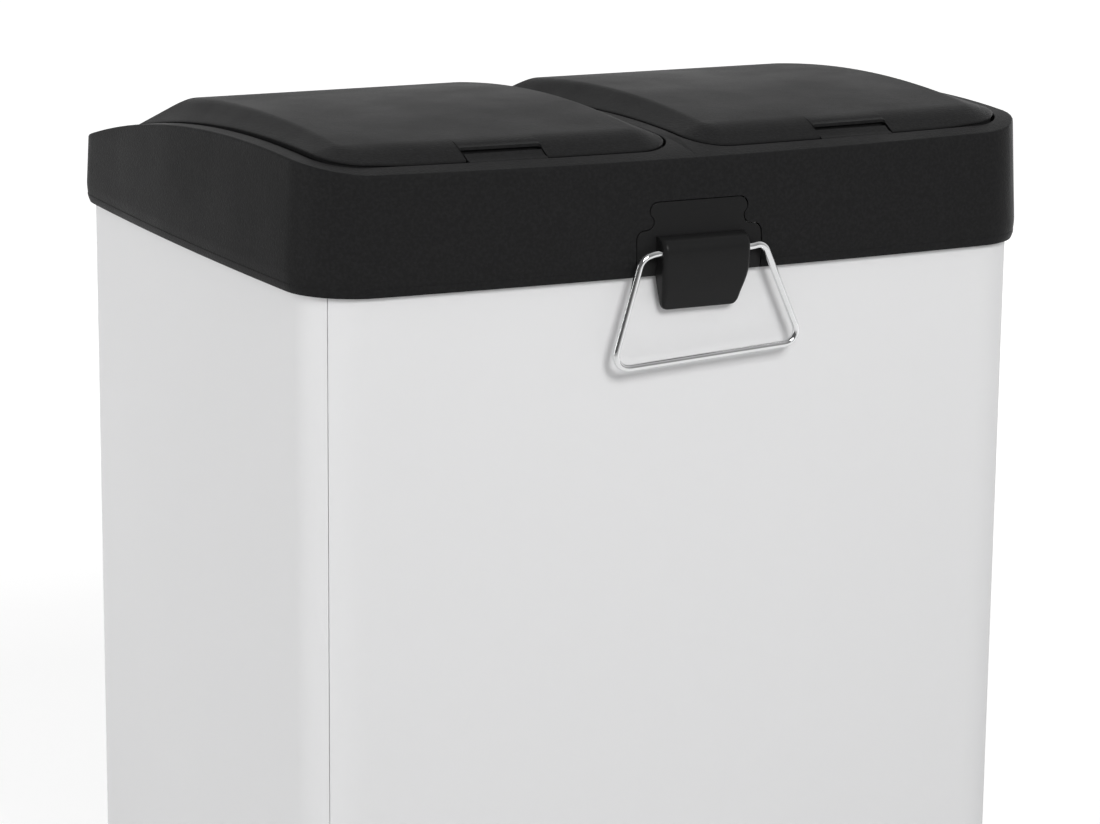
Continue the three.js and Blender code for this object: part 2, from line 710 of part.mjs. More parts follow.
function apronFront(inset) {
  const half = BARREL_HALF - inset;
  const low = APRON_HALF - inset;
  const bottom = -APRON_DROP + inset;
  const top = BARREL_TOP + 5;
  const shape = new THREE.Shape();
  shape.moveTo(-low + 3, bottom);
  shape.lineTo(low - 3, bottom);
  shape.quadraticCurveTo(low + 0.5, bottom, low + 2, bottom + 4);
  shape.bezierCurveTo(half - 2, bottom + 13, half, bottom + 20, half, 6);
  shape.lineTo(half, top);
  shape.lineTo(-half, top);
  shape.lineTo(-half, 6);
  shape.bezierCurveTo(-half, bottom + 20, -half + 2, bottom + 13, -low - 2, bottom + 4);
  shape.quadraticCurveTo(-low - 0.5, bottom, -low + 3, bottom);
  return shape;
}

// rounded barrel whose front sweeps back to the tip of the apron, hollow behind
function barrelAndApron() {
  const outer = alongX(barrelSide(0), -BARREL_HALF, BARREL_HALF);
  const form = outer.intersect(alongY(apronFront(0), FACE + 5, FACE - BARREL_DEPTH - 5));
  const hollowTop = PIVOT_HEIGHT - WIRE - APRON_WALL;
  const reach = join(
    block(-BARREL_HALF, BARREL_HALF, FACE - BARREL_DEPTH, FACE + BODY_STEP, -APRON_DROP, -1),
    block(-BARREL_HALF, BARREL_HALF, FACE - BARREL_DEPTH, FACE - 1, -2, hollowTop),
  );
  const scoop = alongX(barrelSide(APRON_WALL), -BARREL_HALF, BARREL_HALF)
    .intersect(alongY(apronFront(APRON_WALL), FACE + BODY_STEP, FACE - BARREL_DEPTH - 5))
    .intersect(reach);
  const socketStart = BARREL_HALF - BAIL_SOCKET;
  const sockets = [-1, 1].map((side) => {
    const ends = [side * socketStart, side * (BARREL_HALF + 2)].sort((a, b) => a - b);
    return rodAlongX(WIRE + PIN_CLEARANCE, ends[0], ends[1], PIVOT_Y, PIVOT_HEIGHT);
  });
  return cut(form, scoop, ...sockets);
}

function makeHandleBracket() {
  const ring = cut(frameLoft(0), frameLoft(FRAME_WALL));
  const wall = ring.intersect(block(-60, 60, FACE - 5, FACE + 20, -2, FLANGE_TOP + 5));
  const plate = wall.intersect(alongY(keyShape(0), FACE + 20, FACE - 20));
  const flangeStart = FLANGE_FACE;
  const flange = block(
    -FLANGE_HALF_WIDTH,
    FLANGE_HALF_WIDTH,
    flangeStart,
    flangeStart + FLANGE_WALL,
    FLANGE_BOTTOM,
    FLANGE_TOP,
  );
  const bridge = block(
    -KEY_NECK,
    KEY_NECK,
    innerWallY(FLANGE_BOTTOM) - 1,
    flangeStart + 1,
    FLANGE_BOTTOM,
    KEY_HEIGHT - KEY_RADIUS,
  );
  const holes = [-1, 1].map((side) => rodAlongY(
    SCREW_BOSS + PIN_CLEARANCE,
    flangeStart - 2,
    flangeStart + FLANGE_WALL + 2,
    side * SCREW_SPREAD,
    SCREW_HEIGHT,
  ));
  return join(plate, cut(flange, ...holes), bridge, barrelAndApron());
}

// pan head screw that clamps the flange onto its boss
function makeBracketScrew(side) {
  const x = side * SCREW_SPREAD;
  const seat = FLANGE_FACE + FLANGE_WALL + FIT;
  const head = rodAlongY(SCREW_HEAD, seat, seat + SCREW_HEAD_HEIGHT, x, SCREW_HEIGHT);
  const shank = rodAlongY(SCREW_RADIUS, innerWallY(SCREW_HEIGHT) - 0.8, seat + 1, x, SCREW_HEIGHT);
  return head.add(shank);
}

// a straight run of wire with rounded bends: corners are given, bends are arcs of BAIL_BEND
function bailPath() {
  const turn = (x, z) => new THREE.Vector3(
    x * Math.cos(BAIL_SKEW) - z * Math.sin(BAIL_SKEW),
    0,
    x * Math.sin(BAIL_SKEW) + z * Math.cos(BAIL_SKEW),
  );
  const pinEnd = BARREL_HALF - BAIL_SOCKET + 1;
  const pinStart = BARREL_HALF + 3;
  const corners = [
    new THREE.Vector3(-pinEnd, 0, 0),
    new THREE.Vector3(-pinStart, 0, 0),
    turn(-BAIL_SHOULDER, -BAIL_SHOULDER_DROP),
    turn(-BAIL_HALF, -BAIL_DROP),
    turn(BAIL_HALF, -BAIL_DROP),
    turn(BAIL_SHOULDER, -BAIL_SHOULDER_DROP),
    new THREE.Vector3(pinStart, 0, 0),
    new THREE.Vector3(pinEnd, 0, 0),
  ];
  const bends = [0, 2.5, 5, BAIL_BEND, BAIL_BEND, 5, 2.5, 0];
  const path = new THREE.CurvePath();
  let from = corners[0];
  for (let i = 1; i < corners.length - 1; i += 1) {
    const before = corners[i].clone().lerp(corners[i - 1], bends[i] / corners[i].distanceTo(corners[i - 1]));
    const after = corners[i].clone().lerp(corners[i + 1], bends[i] / corners[i].distanceTo(corners[i + 1]));
    path.add(new THREE.LineCurve3(from, before));
    path.add(new THREE.QuadraticBezierCurve3(before, corners[i], after));
    from = after;
  }
  path.add(new THREE.LineCurve3(from, corners[corners.length - 1]));
  return path;
}

// the wire swept as one tube: a ring of points square to the path at each station
function makeBail() {
  const path = bailPath();
  const stations = [path.curves[0].getPoint(0)];
  for (const curve of path.curves) {
    const steps = curve instanceof THREE.LineCurve3 ? 1 : BEND_STEPS;
    for (let i = 1; i <= steps; i += 1) {
      stations.push(curve.getPoint(i / steps));
    }
  }
  const across = new THREE.Vector3(0, 1, 0);
  const rings = stations.map((point, i) => {
    const before = stations[Math.max(i - 1, 0)];
    const after = stations[Math.min(i + 1, stations.length - 1)];
    const side = after.clone().sub(before).normalize().cross(across).normalize();
    const ring = [];
    for (let k = 0; k < WIRE_SIDES; k += 1) {
      const angle = 2 * Math.PI * k / WIRE_SIDES;
      const offset = across.clone().multiplyScalar(WIRE * Math.cos(angle));
      ring.push(point.clone().add(offset).addScaledVector(side, WIRE * Math.sin(angle)));
    }
    return ring;
  });
  return loft(rings);
}

// ---------------------------------------------------------------- steel body

function shorten(from, to, amount) {
  return from.clone().lerp(to, amount / from.distanceTo(to));
}

// a point of the plan loop at an inset, moved along the loop by trim
function station(index, inset, trim = 0) {
  const loop = planLoop(inset).map(bowed);
  const here = loop[(index + loop.length) % loop.length];
  const next = loop[(index + Math.sign(trim) + loop.length) % loop.length];
  return trim === 0 ? here : shorten(here, next, Math.abs(trim));
}

function run(first, last, inset) {
  const points = [];
  for (let i = first; i <= last; i += 1) {
    points.push(station(i, inset));
  }
  return points;
}

// a bent sheet from its closed plan outline, as high as the body
function sheet(outline) {
  const geometry = new THREE.ExtrudeGeometry(new THREE.Shape(outline), {
    depth: BODY_TOP - SHEET_BOTTOM,
    bevelEnabled: false,
  });
  geometry.translate(0, 0, SHEET_BOTTOM);
  return toSolid(geometry);
}

const SHEET_BOTTOM = PLINTH_HEIGHT + FIT;

// front panel: wraps both front corners as far as their middle
function makeFrontPanel() {
  const side = (inset) => [
    station(0, inset, SEAM_GAP / 2),
    ...run(1, MID_FRONT_RIGHT - 1, inset),
    station(MID_FRONT_RIGHT, inset, -SEAM_GAP / 2),
  ];
  return sheet([...side(BODY_STEP), ...side(BODY_STEP + SHEET).reverse()]);
}

// sides and back in one bent sheet, stepped in behind the front panel at each seam
function makeRearWrap() {
  const end = planLoop(0).length;
  const start = MID_FRONT_RIGHT;
  const behind = BODY_STEP + SHEET + FIT;
  const outside = [
    ...run(start - 2, start - 1, behind),
    station(start, behind, SEAM_GAP / 2),
    station(start, BODY_STEP, SEAM_GAP / 2),
    ...run(start + 1, end - 1, BODY_STEP),
    station(end, BODY_STEP, -SEAM_GAP / 2),
    station(end, behind, -SEAM_GAP / 2),
    ...run(end + 1, end + 2, behind),
  ];
  const inside = [
    ...run(start - 2, start + 1, behind + SHEET),
    ...run(start + 1, end - 1, BODY_STEP + SHEET),
    ...run(end - 1, end + 2, behind + SHEET),
  ];
  const holes = rivetPlaces().map(([x, z]) => (
    rodAlongY(RIVET_RADIUS + PIN_CLEARANCE, REAR - BODY_STEP - 5, REAR, x, z)
  ));
  return cut(sheet([...outside, ...inside.reverse()]), ...holes);
}

function rivetPlaces() {
  return [-1, 1].flatMap((side) => [-1, 1].map((end) => (
    [side * HINGE_SPREAD + end * RIVET_SPREAD, FRAME_BASE - RIVET_DROP]
  )));
}

const FOOT_PLACES = [-1, 1].flatMap((side) => [FRONT + FOOT_INSET, REAR - FOOT_INSET].map((y) => (
  new THREE.Vector2(side * (FRAME_WIDTH / 2 - FOOT_INSET), y)
)));

// moulded tray that the sheets stand on, with its floor ribs and pockets for the feet
function makeBaseTray() {
  const inner = BODY_STEP + 2 * SHEET + 2 * FIT;
  const outerWall = prism(planLoop(BODY_STEP - 0.5), FOOT_HEIGHT, PLINTH_HEIGHT);
  const upstand = prism(planLoop(inner, SHOWN), FOOT_HEIGHT, PLINTH_HEIGHT + TRAY_UPSTAND);
  const floorTop = FOOT_HEIGHT + TRAY_FLOOR + FOOT_POCKET;
  const hollow = prism(planLoop(inner + TRAY_WALL, HIDDEN), floorTop, PLINTH_HEIGHT + TRAY_UPSTAND + 1);
  const ribs = [];
  const low = floorTop - TRAY_FLOOR / 2;
  const high = floorTop + TRAY_RIB_HEIGHT;
  for (const x of [-TRAY_RIB_PITCH, 0, TRAY_RIB_PITCH]) {
    ribs.push(block(x - TRAY_RIB / 2, x + TRAY_RIB / 2, FACE, REAR, low, high));
  }
  for (const y of [-TRAY_RIB_PITCH / 2, TRAY_RIB_PITCH / 2]) {
    ribs.push(block(-FRAME_WIDTH / 2, FRAME_WIDTH / 2, y - TRAY_RIB / 2, y + TRAY_RIB / 2, low, high));
  }
  const within = prism(planLoop(inner + 1, HIDDEN), FOOT_HEIGHT, PLINTH_HEIGHT + TRAY_UPSTAND);
  const inside = join(...ribs).intersect(within);
  const tray = cut(join(outerWall, upstand), hollow).add(inside);
  const pockets = FOOT_PLACES.map(bowed).map((p) => (
    rodAlongZ(FOOT_RADIUS + FIT, 0, FOOT_HEIGHT + FOOT_POCKET, p.x, p.y)
  ));
  return cut(tray, ...pockets);
}

// a turned piece from a half section of (radius, height) pairs, closed on its axis
function turned(section) {
  return toSolid(new THREE.LatheGeometry(section.map(([r, z]) => new THREE.Vector2(r, z)), ROUND)
    .rotateX(Math.PI / 2));
}

function makeFoot() {
  const top = FOOT_HEIGHT + FOOT_POCKET - FIT;
  return turned([[0, 0], [FOOT_RADIUS - 1.5, 0], [FOOT_RADIUS, 1.5], [FOOT_RADIUS, top], [0, top]]);
}

function makeRailPad() {
  const z = FIT;
  return turned([
    [0, -RAIL_PLATE + 0.2],
    [PAD_STEM, -RAIL_PLATE + 0.2],
    [PAD_STEM, z],
    [PAD_RADIUS, z],
    [PAD_RADIUS, z + PAD_HEIGHT - 1],
    [PAD_RADIUS - 1, z + PAD_HEIGHT],
    [0, z + PAD_HEIGHT],
  ]);
}

// ---------------------------------------------------------------- rail and buckets

function bucketOpening(grow) {
  return {
    left: CROSSBAR_WIDTH / 2 - grow,
    right: FRAME_WIDTH / 2 - RAIL_MARGIN + grow,
    front: FRONT + RAIL_MARGIN - grow,
    back: REAR - RAIL_MARGIN + grow,
    frontRadius: BUCKET_CORNER + grow,
    backRadius: BUCKET_CORNER + grow,
  };
}

// black ring that closes the top of the steel body, with a bar between the buckets
function makeTopRail() {
  const plateBottom = SKIRT_OVERLAP + FIT;
  const inner = BODY_STEP + 2 * SHEET + 2 * FIT;
  const plate = prism(planLoop(BODY_STEP + FIT), plateBottom, RAIL_TOP);
  const skirt = cut(
    prism(planLoop(inner), plateBottom - RAIL_SKIRT, RAIL_TOP),
    prism(planLoop(inner + RAIL_WALL, HIDDEN), plateBottom - RAIL_SKIRT - 1, plateBottom),
  );
  const bar = block(-RAIL_WALL / 2, RAIL_WALL / 2, FACE + inner + 1, REAR - inner - 1,
    plateBottom - CROSSBAR_DEPTH, RAIL_TOP);
  const right = prism(roundedLoop(bucketOpening(0), HIDDEN), 0, RAIL_TOP + 5);
  const rail = cut(join(plate, skirt, bar), right, mirrorX(right));
  const holes = PADS.map(bowed).map((p) => (
    rodAlongZ(PAD_STEM + PIN_CLEARANCE, 0, RAIL_TOP + 5, p.x, p.y)
  ));
  return cut(rail, ...holes);
}

// one bucket: a tapered tub with a flat flange, a turned-down lip and a recessed floor
function makeBucket() {
  const seat = RAIL_TOP + FIT;
  const level = (shrink, z) => lift(roundedLoop(bucketOpening(-BUCKET_CLEARANCE - shrink), HIDDEN), z);
  const wall = BUCKET_WALL;
  const floor = seat - BUCKET_HEIGHT;
  const outer = loft([
    level(BUCKET_TAPER + 6, floor),
    level(BUCKET_TAPER, floor + 8),
    level(0, seat + BUCKET_RIM),
  ]);
  const inner = loft([
    level(BUCKET_TAPER + 6 + wall, floor + wall),
    level(BUCKET_TAPER + wall, floor + 8 + wall),
    level(wall, seat + BUCKET_RIM + 2),
  ]);
  const rim = loft([
    level(-BUCKET_FLANGE, seat),
    level(-BUCKET_FLANGE, seat + BUCKET_RIM - 1),
    level(-BUCKET_FLANGE + 1, seat + BUCKET_RIM),
  ]);
  const under = loft([
    level(-BUCKET_FLANGE + wall, seat - 1),
    level(-BUCKET_FLANGE + wall, seat + BUCKET_RIM - wall),
  ]);
  return cut(join(cut(rim, under), outer), inner);
}

// ---------------------------------------------------------------- rear hinge

function makeHingeBracket(side) {
  const x = side * HINGE_SPREAD;
  const back = REAR - BODY_STEP + FIT;
  const axis = -HINGE_DROP;
  const plate = block(x - BRACKET_WIDTH / 2, x + BRACKET_WIDTH / 2, back, back + BRACKET_SHEET,
    -BRACKET_DROP, axis + EAR_RADIUS);
  const reach = HINGE_LUG_WIDTH / 2 + EAR_GAP;
  const ears = [-1, 1].map((end) => {
    const span = [x + end * reach, x + end * (reach + EAR_SHEET)].sort((a, b) => a - b);
    const round = rodAlongX(EAR_RADIUS, span[0], span[1], HINGE_Y, axis);
    const root = alongX([
      new THREE.Vector2(back + BRACKET_SHEET / 2, axis - 3 * EAR_RADIUS),
      new THREE.Vector2(HINGE_Y + EAR_RADIUS * 0.7, axis - EAR_RADIUS * 0.7),
      new THREE.Vector2(HINGE_Y, axis + EAR_RADIUS),
      new THREE.Vector2(back + BRACKET_SHEET / 2, axis + EAR_RADIUS),
    ], span[0], span[1]);
    return round.add(root);
  });
  const bore = rodAlongX(HINGE_PIN + PIN_CLEARANCE, x - BRACKET_WIDTH, x + BRACKET_WIDTH, HINGE_Y, axis);
  const rivets = [-1, 1].map((end) => (
    rodAlongY(RIVET_RADIUS + PIN_CLEARANCE, back - 2, back + 4, x + end * RIVET_SPREAD, -RIVET_DROP)
  ));
  return cut(join(plate, ...ears), bore, ...rivets);
}

function makeHingePin(side) {
  const x = side * HINGE_SPREAD;
  const reach = HINGE_LUG_WIDTH / 2 + EAR_GAP + EAR_SHEET + FIT;
  const shank = rodAlongX(HINGE_PIN, x - reach - 1, x + reach + 1, HINGE_Y, -HINGE_DROP);
  const heads = [-1, 1].map((end) => {
    const span = [x + end * reach, x + end * (reach + PIN_HEAD_LENGTH)].sort((a, b) => a - b);
    return rodAlongX(PIN_HEAD, span[0], span[1], HINGE_Y, -HINGE_DROP);
  });
  return join(shank, ...heads);
}

function makeRivet() {
  const inside = -(SHEET + FIT);
  const outside = FIT + BRACKET_SHEET + FIT;
  return turned([
    [0, inside - RIVET_HEAD_HEIGHT],
    [RIVET_HEAD - 0.8, inside - RIVET_HEAD_HEIGHT],
    [RIVET_HEAD - 0.8, inside],
    [RIVET_RADIUS, inside],
    [RIVET_RADIUS, outside],
    [RIVET_HEAD, outside],
    [RIVET_HEAD * 0.7, outside + RIVET_HEAD_HEIGHT * 0.8],
    [0, outside + RIVET_HEAD_HEIGHT],
  ]);
}

// ---------------------------------------------------------------- assembly

const finishes = {
  plastic: new THREE.MeshStandardMaterial({ color: 0x2a2a2b, roughness: 0.62, metalness: 0 }),
  bucket: new THREE.MeshStandardMaterial({ color: 0x3b3c3e, roughness: 0.6, metalness: 0 }),
  paint: new THREE.MeshStandardMaterial({ color: 0xdddede, roughness: 0.45, metalness: 0.1 }),
  chrome: new THREE.MeshStandardMaterial({ color: 0xd9dadc, roughness: 0.12, metalness: 1 }),
  zinc: new THREE.MeshStandardMaterial({ color: 0xb4b7ba, roughness: 0.35, metalness: 1 }),
  rubber: new THREE.MeshStandardMaterial({ color: 0x1b1b1c, roughness: 0.9, metalness: 0 }),
};

function piece(name, solid, finish) {
  const mesh = new THREE.Mesh(toGeometry(solid), finishes[finish]);
  mesh.name = name;
  return mesh;
}

function place(mesh, x, y, z) {
  mesh.position.set(x, y, z);
  return mesh;
}

const SIDES = [['left', -1], ['right', 1]];
const CORNERS = ['front_left', 'rear_left', 'front_right', 'rear_right'];

function makeBody() {
  const body = new THREE.Group();
  body.add(piece('base_tray', makeBaseTray(), 'plastic'));
  body.add(piece('front_panel', makeFrontPanel(), 'paint'));
  body.add(piece('rear_wrap', makeRearWrap(), 'paint'));
  FOOT_PLACES.map(bowed).forEach((p, i) => {
    body.add(place(piece(`foot_${CORNERS[i]}`, makeFoot(), 'rubber'), p.x, p.y, 0));
  });
  rivetPlaces().forEach(([x, z], i) => {
    const rivet = piece(`hinge_rivet_${i + 1}`, makeRivet(), 'zinc');
    rivet.rotation.x = -Math.PI / 2;
    body.add(place(rivet, x, REAR - BODY_STEP, z));
  });
  return body;
}

// everything measured from the lower edge of the lid frame
function makeTop() {
  const top = new THREE.Group();
  top.position.z = FRAME_BASE;
  top.add(piece('top_rail', makeTopRail(), 'plastic'));
  PADS.map(bowed).forEach((p, i) => {
    top.add(place(piece(`rail_pad_${CORNERS[i]}`, makeRailPad(), 'rubber'), p.x, p.y, RAIL_TOP));
  });
  top.add(piece('lid_frame', makeFrame(), 'plastic'));
  const bucket = makeBucket();
  const flap = makeFlap();
  const rod = makeFlapRod();
  for (const [word, side] of SIDES) {
    const handed = (solid) => (side > 0 ? solid : mirrorX(solid));
    top.add(piece(`bucket_${word}`, handed(bucket), 'bucket'));
    top.add(piece(`flap_${word}`, handed(flap), 'plastic'));
    top.add(piece(`flap_rod_${word}`, handed(rod), 'zinc'));
    top.add(piece(`hinge_bracket_${word}`, makeHingeBracket(side), 'zinc'));
    top.add(piece(`hinge_pin_${word}`, makeHingePin(side), 'zinc'));
    top.add(piece(`bracket_screw_${word}`, makeBracketScrew(side), 'zinc'));
  }
  top.add(piece('handle_bracket', makeHandleBracket(), 'plastic'));
  top.add(place(piece('bail_handle', makeBail(), 'chrome'), 0, PIVOT_Y, PIVOT_HEIGHT));
  return top;
}

const bin = new THREE.Group();
bin.add(makeBody(), makeTop());

// the origin is on the floor, under the middle of the whole
const reach = new THREE.Box3().setFromObject(bin);
bin.position.y = -(reach.min.y + reach.max.y) / 2;

export default bin;
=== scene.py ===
import json
import math

import bmesh
import bpy
from bpy.props import FloatProperty, FloatVectorProperty, PointerProperty
from mathutils import Matrix, Vector


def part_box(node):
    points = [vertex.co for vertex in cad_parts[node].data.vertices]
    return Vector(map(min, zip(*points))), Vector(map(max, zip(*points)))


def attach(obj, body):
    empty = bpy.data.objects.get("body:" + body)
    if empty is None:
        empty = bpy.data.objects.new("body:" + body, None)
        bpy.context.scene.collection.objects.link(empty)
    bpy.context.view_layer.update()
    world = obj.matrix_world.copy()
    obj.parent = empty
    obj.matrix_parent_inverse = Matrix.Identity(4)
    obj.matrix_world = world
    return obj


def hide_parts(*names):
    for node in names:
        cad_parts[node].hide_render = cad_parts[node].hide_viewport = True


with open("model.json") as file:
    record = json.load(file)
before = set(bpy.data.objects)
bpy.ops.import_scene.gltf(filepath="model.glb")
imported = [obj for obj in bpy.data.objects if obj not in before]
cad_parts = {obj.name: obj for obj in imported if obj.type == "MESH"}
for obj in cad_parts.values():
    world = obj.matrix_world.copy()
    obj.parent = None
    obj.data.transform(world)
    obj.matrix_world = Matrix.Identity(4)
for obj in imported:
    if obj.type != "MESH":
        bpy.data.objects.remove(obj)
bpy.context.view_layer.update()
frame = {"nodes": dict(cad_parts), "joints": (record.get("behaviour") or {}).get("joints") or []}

bl_info = {
    "name": "Double Recycling Bin",
    "version": (1, 0, 0),
    "blender": (4, 5, 0),
    "location": "View3D > Sidebar > Bin",
    "description": "Builds the visible pieces of a double recycling bin around its packed frame",
    "category": "Add Mesh",
}

# ------------------------------------------------------------------ the bin's plan, in millimetres
# x runs to the right, y to the back from the middle of the lid frame, heights from its lower edge

MM = 0.001
PIVOT_REACH = 6.1
PIVOT_HEIGHT = 15.8
RISE = 556.0
WIDTH = 520.0
DEPTH = 430.0
CORNER = 42.0
FRONT_BOW = 8.0
SIDE_BOW = 5.5
FRONT = -DEPTH / 2
REAR = DEPTH / 2
FACE = FRONT - FRONT_BOW
JOINTS = {joint["name"]: joint for joint in frame["joints"]}
BACK = JOINTS["bail_swing"]["pos_m"][1] / MM + PIVOT_REACH - FACE

WALL = 2.6
DECK = 2.8
DRAFT = math.tan(math.radians(3))
EDGE_HEIGHT = 13.0
LEDGE_DROP = 5.0
LEDGE = 9.0
GAP = 1.6
FLAP_IN = 7.0
FLAP_OUT = 242.5
FLAP_FRONT = FRONT + 17.6
FLAP_BACK = FRONT + 343.6
FLAP_FRONT_RADIUS = 25.0
FLAP_BACK_RADIUS = 12.0
CHAMFER = 17.0
RAMP = 53.6
CREASE_RADIUS = 9.0
FLAP_WALL = 2.4
NOTCH = 54.6
NOTCH_DEPTH = 10.4
FLAP_MIDDLE = (FLAP_IN + FLAP_OUT) / 2
AXIS_Y = FLAP_BACK + 5.4
TROUGH = 6.3
BODY_STEP = 6.0
SHEET = 1.0

# eyes that turn on the rods and pins: their outer radii, their hole and their place across
ROD_EYE = 4.2
PIN_EYE = 4.4
EYE_HOLE = 2.3
LUG_REACH = 60
HINGE_REACH = 150

# points along the straight runs and the corners of an outline
EDGE_STEPS = 14
CORNER_STEPS = 10
SIDE_STEPS = 22
PLAN_CORNER = 14
PLAN_SIDE = 24


def frame_top(y):
    """Height of the lid frame's arched top."""
    back = y - FRONT
    return 83.5 - (back - 103) ** 2 / 2380 - 4.76 * max(0.0, 1 - back / 45) ** 2


def flap_top(y):
    """Height of the flaps' flatter arch."""
    return 94 - (y - FRONT - 150) ** 2 / 2100


AXIS_Z = frame_top(AXIS_Y) - 3.7


def bowed(x, y):
    """A point of the straight plan, moved with the bowed front and sides."""
    across = x / (WIDTH / 2)
    along = y / (DEPTH / 2)
    side = across * SIDE_BOW * (1 - along * along)
    front = min(along, 0) * FRONT_BOW * (1 - across * across)
    return x + side, y + front


def spot(x, y, z):
    """A point in millimetres of the lid frame's own measure, as a place in the scene."""
    return Vector((x * MM, (y + BACK) * MM, (z + RISE) * MM))


def settle(plan, height):
    """Plan points with the bow, at a height or at height(y)."""
    ring = []
    for x, y in plan:
        bx, by = bowed(x, y)
        ring.append(spot(bx, by, height(by) if callable(height) else height))
    return ring


# ------------------------------------------------------------------ outlines


def arc(x, y, radius, start, end, steps):
    """Points of an arc in degrees, without its last one."""
    points = []
    for i in range(steps):
        angle = math.radians(start + (end - start) * i / steps)
        points.append((x + radius * math.cos(angle), y + radius * math.sin(angle)))
    return points


def bezier(a, b, c, d, steps):
    """Points of a curve from a to d, with its last one."""
    points = []
    for i in range(steps + 1):
        t = i / steps
        w = ((1 - t) ** 3, 3 * t * (1 - t) ** 2, 3 * t * t * (1 - t), t ** 3)
        points.append(tuple(sum(k * p[n] for k, p in zip(w, (a, b, c, d))) for n in (0, 1)))
    return points


def run(start, end, shares):
    """Points of a straight run at the given shares of its length."""
    (x0, y0), (x1, y1) = start, end
    return [(x0 + (x1 - x0) * s, y0 + (y1 - y0) * s) for s in shares]


def evenly(steps):
    """Shares of a run at equal steps, without its end."""
    return [i / steps for i in range(steps)]


# the side of a recess has two close points where its trough starts
TROUGH_SHARE = 0.9628
TROUGH_EDGE = 0.001
SIDE_SHARES = [s * (TROUGH_SHARE - TROUGH_EDGE) for s in evenly(SIDE_STEPS)]
SIDE_SHARES += [TROUGH_SHARE - TROUGH_EDGE, TROUGH_SHARE + TROUGH_EDGE]
BACKWARDS = [0.0] + sorted(1 - s for s in SIDE_SHARES if s > 0)


def outline(left, right, front, back, corners):
    """A rounded rectangle from its front left corner's end round to it again, anticlockwise."""
    front_right, back_right, back_left, front_left = corners
    points = run((left + front_left, front), (right - front_right, front), evenly(EDGE_STEPS))
    points += arc(right - front_right, front + front_right, front_right, -90, 0, CORNER_STEPS)
    points += run((right, front + front_right), (right, back - back_right), SIDE_SHARES)
    points += arc(right - back_right, back - back_right, back_right, 0, 90, CORNER_STEPS)
    points += run((right - back_right, back), (left + back_left, back), evenly(EDGE_STEPS))
    points += arc(left + back_left, back - back_left, back_left, 90, 180, CORNER_STEPS)
    points += run((left, back - back_left), (left, front + front_left), BACKWARDS)
    points += arc(left + front_left, front + front_left, front_left, 180, 270, CORNER_STEPS)
    return points


def toward(first, second, share):
    """Plan points part of the way from one outline to another of equal count."""
    return [(a[0] + (b[0] - a[0]) * share, a[1] + (b[1] - a[1]) * share)
            for a, b in zip(first, second)]


def half_plan(inset):
    """The right half of the frame's outline, closed along the middle of the bin."""
    corner = CORNER - inset
    return outline(0, WIDTH / 2 - inset, FRONT + inset, REAR - inset, (corner, corner, 0, 0))


def whole_plan(inset):
    """The whole rounded outline, anticlockwise from the middle of its front left corner."""
    radius = CORNER - inset
    left, right = -WIDTH / 2 + inset, WIDTH / 2 - inset
    front, back = FRONT + inset, REAR - inset
    points = arc(left + radius, front + radius, radius, 225, 270, PLAN_CORNER // 2)
    points += run((left + radius, front), (right - radius, front), evenly(PLAN_SIDE))
    points += arc(right - radius, front + radius, radius, -90, 0, PLAN_CORNER)
    points += run((right, front + radius), (right, back - radius), evenly(PLAN_SIDE))
    points += arc(right - radius, back - radius, radius, 0, 90, PLAN_CORNER)
    points += run((right - radius, back), (left + radius, back), evenly(PLAN_SIDE))
    points += arc(left + radius, back - radius, radius, 90, 180, PLAN_CORNER)
    points += run((left, back - radius), (left, front + radius), evenly(PLAN_SIDE))
    points += arc(left + radius, front + radius, radius, 180, 225, PLAN_CORNER // 2)
    return points


# ------------------------------------------------------------------ meshes


def start_ring(bm, points):
    """A closed wire of vertices, the start of a skin."""
    verts = [bm.verts.new(p) for p in points]
    for pair in zip(verts, verts[1:] + verts[:1]):
        bm.edges.new(pair)
    return verts


def grow(bm, verts, points):
    """Extrudes a ring of vertices to its next place and gives the new ring in the same order."""
    ring = set(verts)
    edges = {e for v in verts for e in v.link_edges if e.other_vert(v) in ring}
    last = [e for e in edges if not e.is_manifold]
    made = bmesh.ops.extrude_edge_only(bm, edges=last)["geom"]
    fresh = {g for g in made if isinstance(g, bmesh.types.BMVert)}
    moved = []
    for v, p in zip(verts, points):
        twin = next(e.other_vert(v) for e in v.link_edges if e.other_vert(v) in fresh)
        twin.co = p
        moved.append(twin)
    return moved


def skin(bm, rings, loop=False, capped=False):
    """A surface through rings of equal count; loop joins the last ring to the first."""
    first = verts = start_ring(bm, rings[0])
    for points in rings[1:]:
        verts = grow(bm, verts, points)
    if loop:
        grow(bm, verts, rings[0])
    if capped:
        bm.faces.new(first)
        bm.faces.new(verts)


MERGE = 2e-6


def clean(bm):
    """Merges doubles and deletes what carries no face."""
    bmesh.ops.remove_doubles(bm, verts=bm.verts, dist=MERGE)
    bmesh.ops.dissolve_degenerate(bm, edges=bm.edges, dist=1e-7)
    loose = [v for v in bm.verts if not v.link_faces]
    bmesh.ops.delete(bm, geom=loose, context="VERTS")


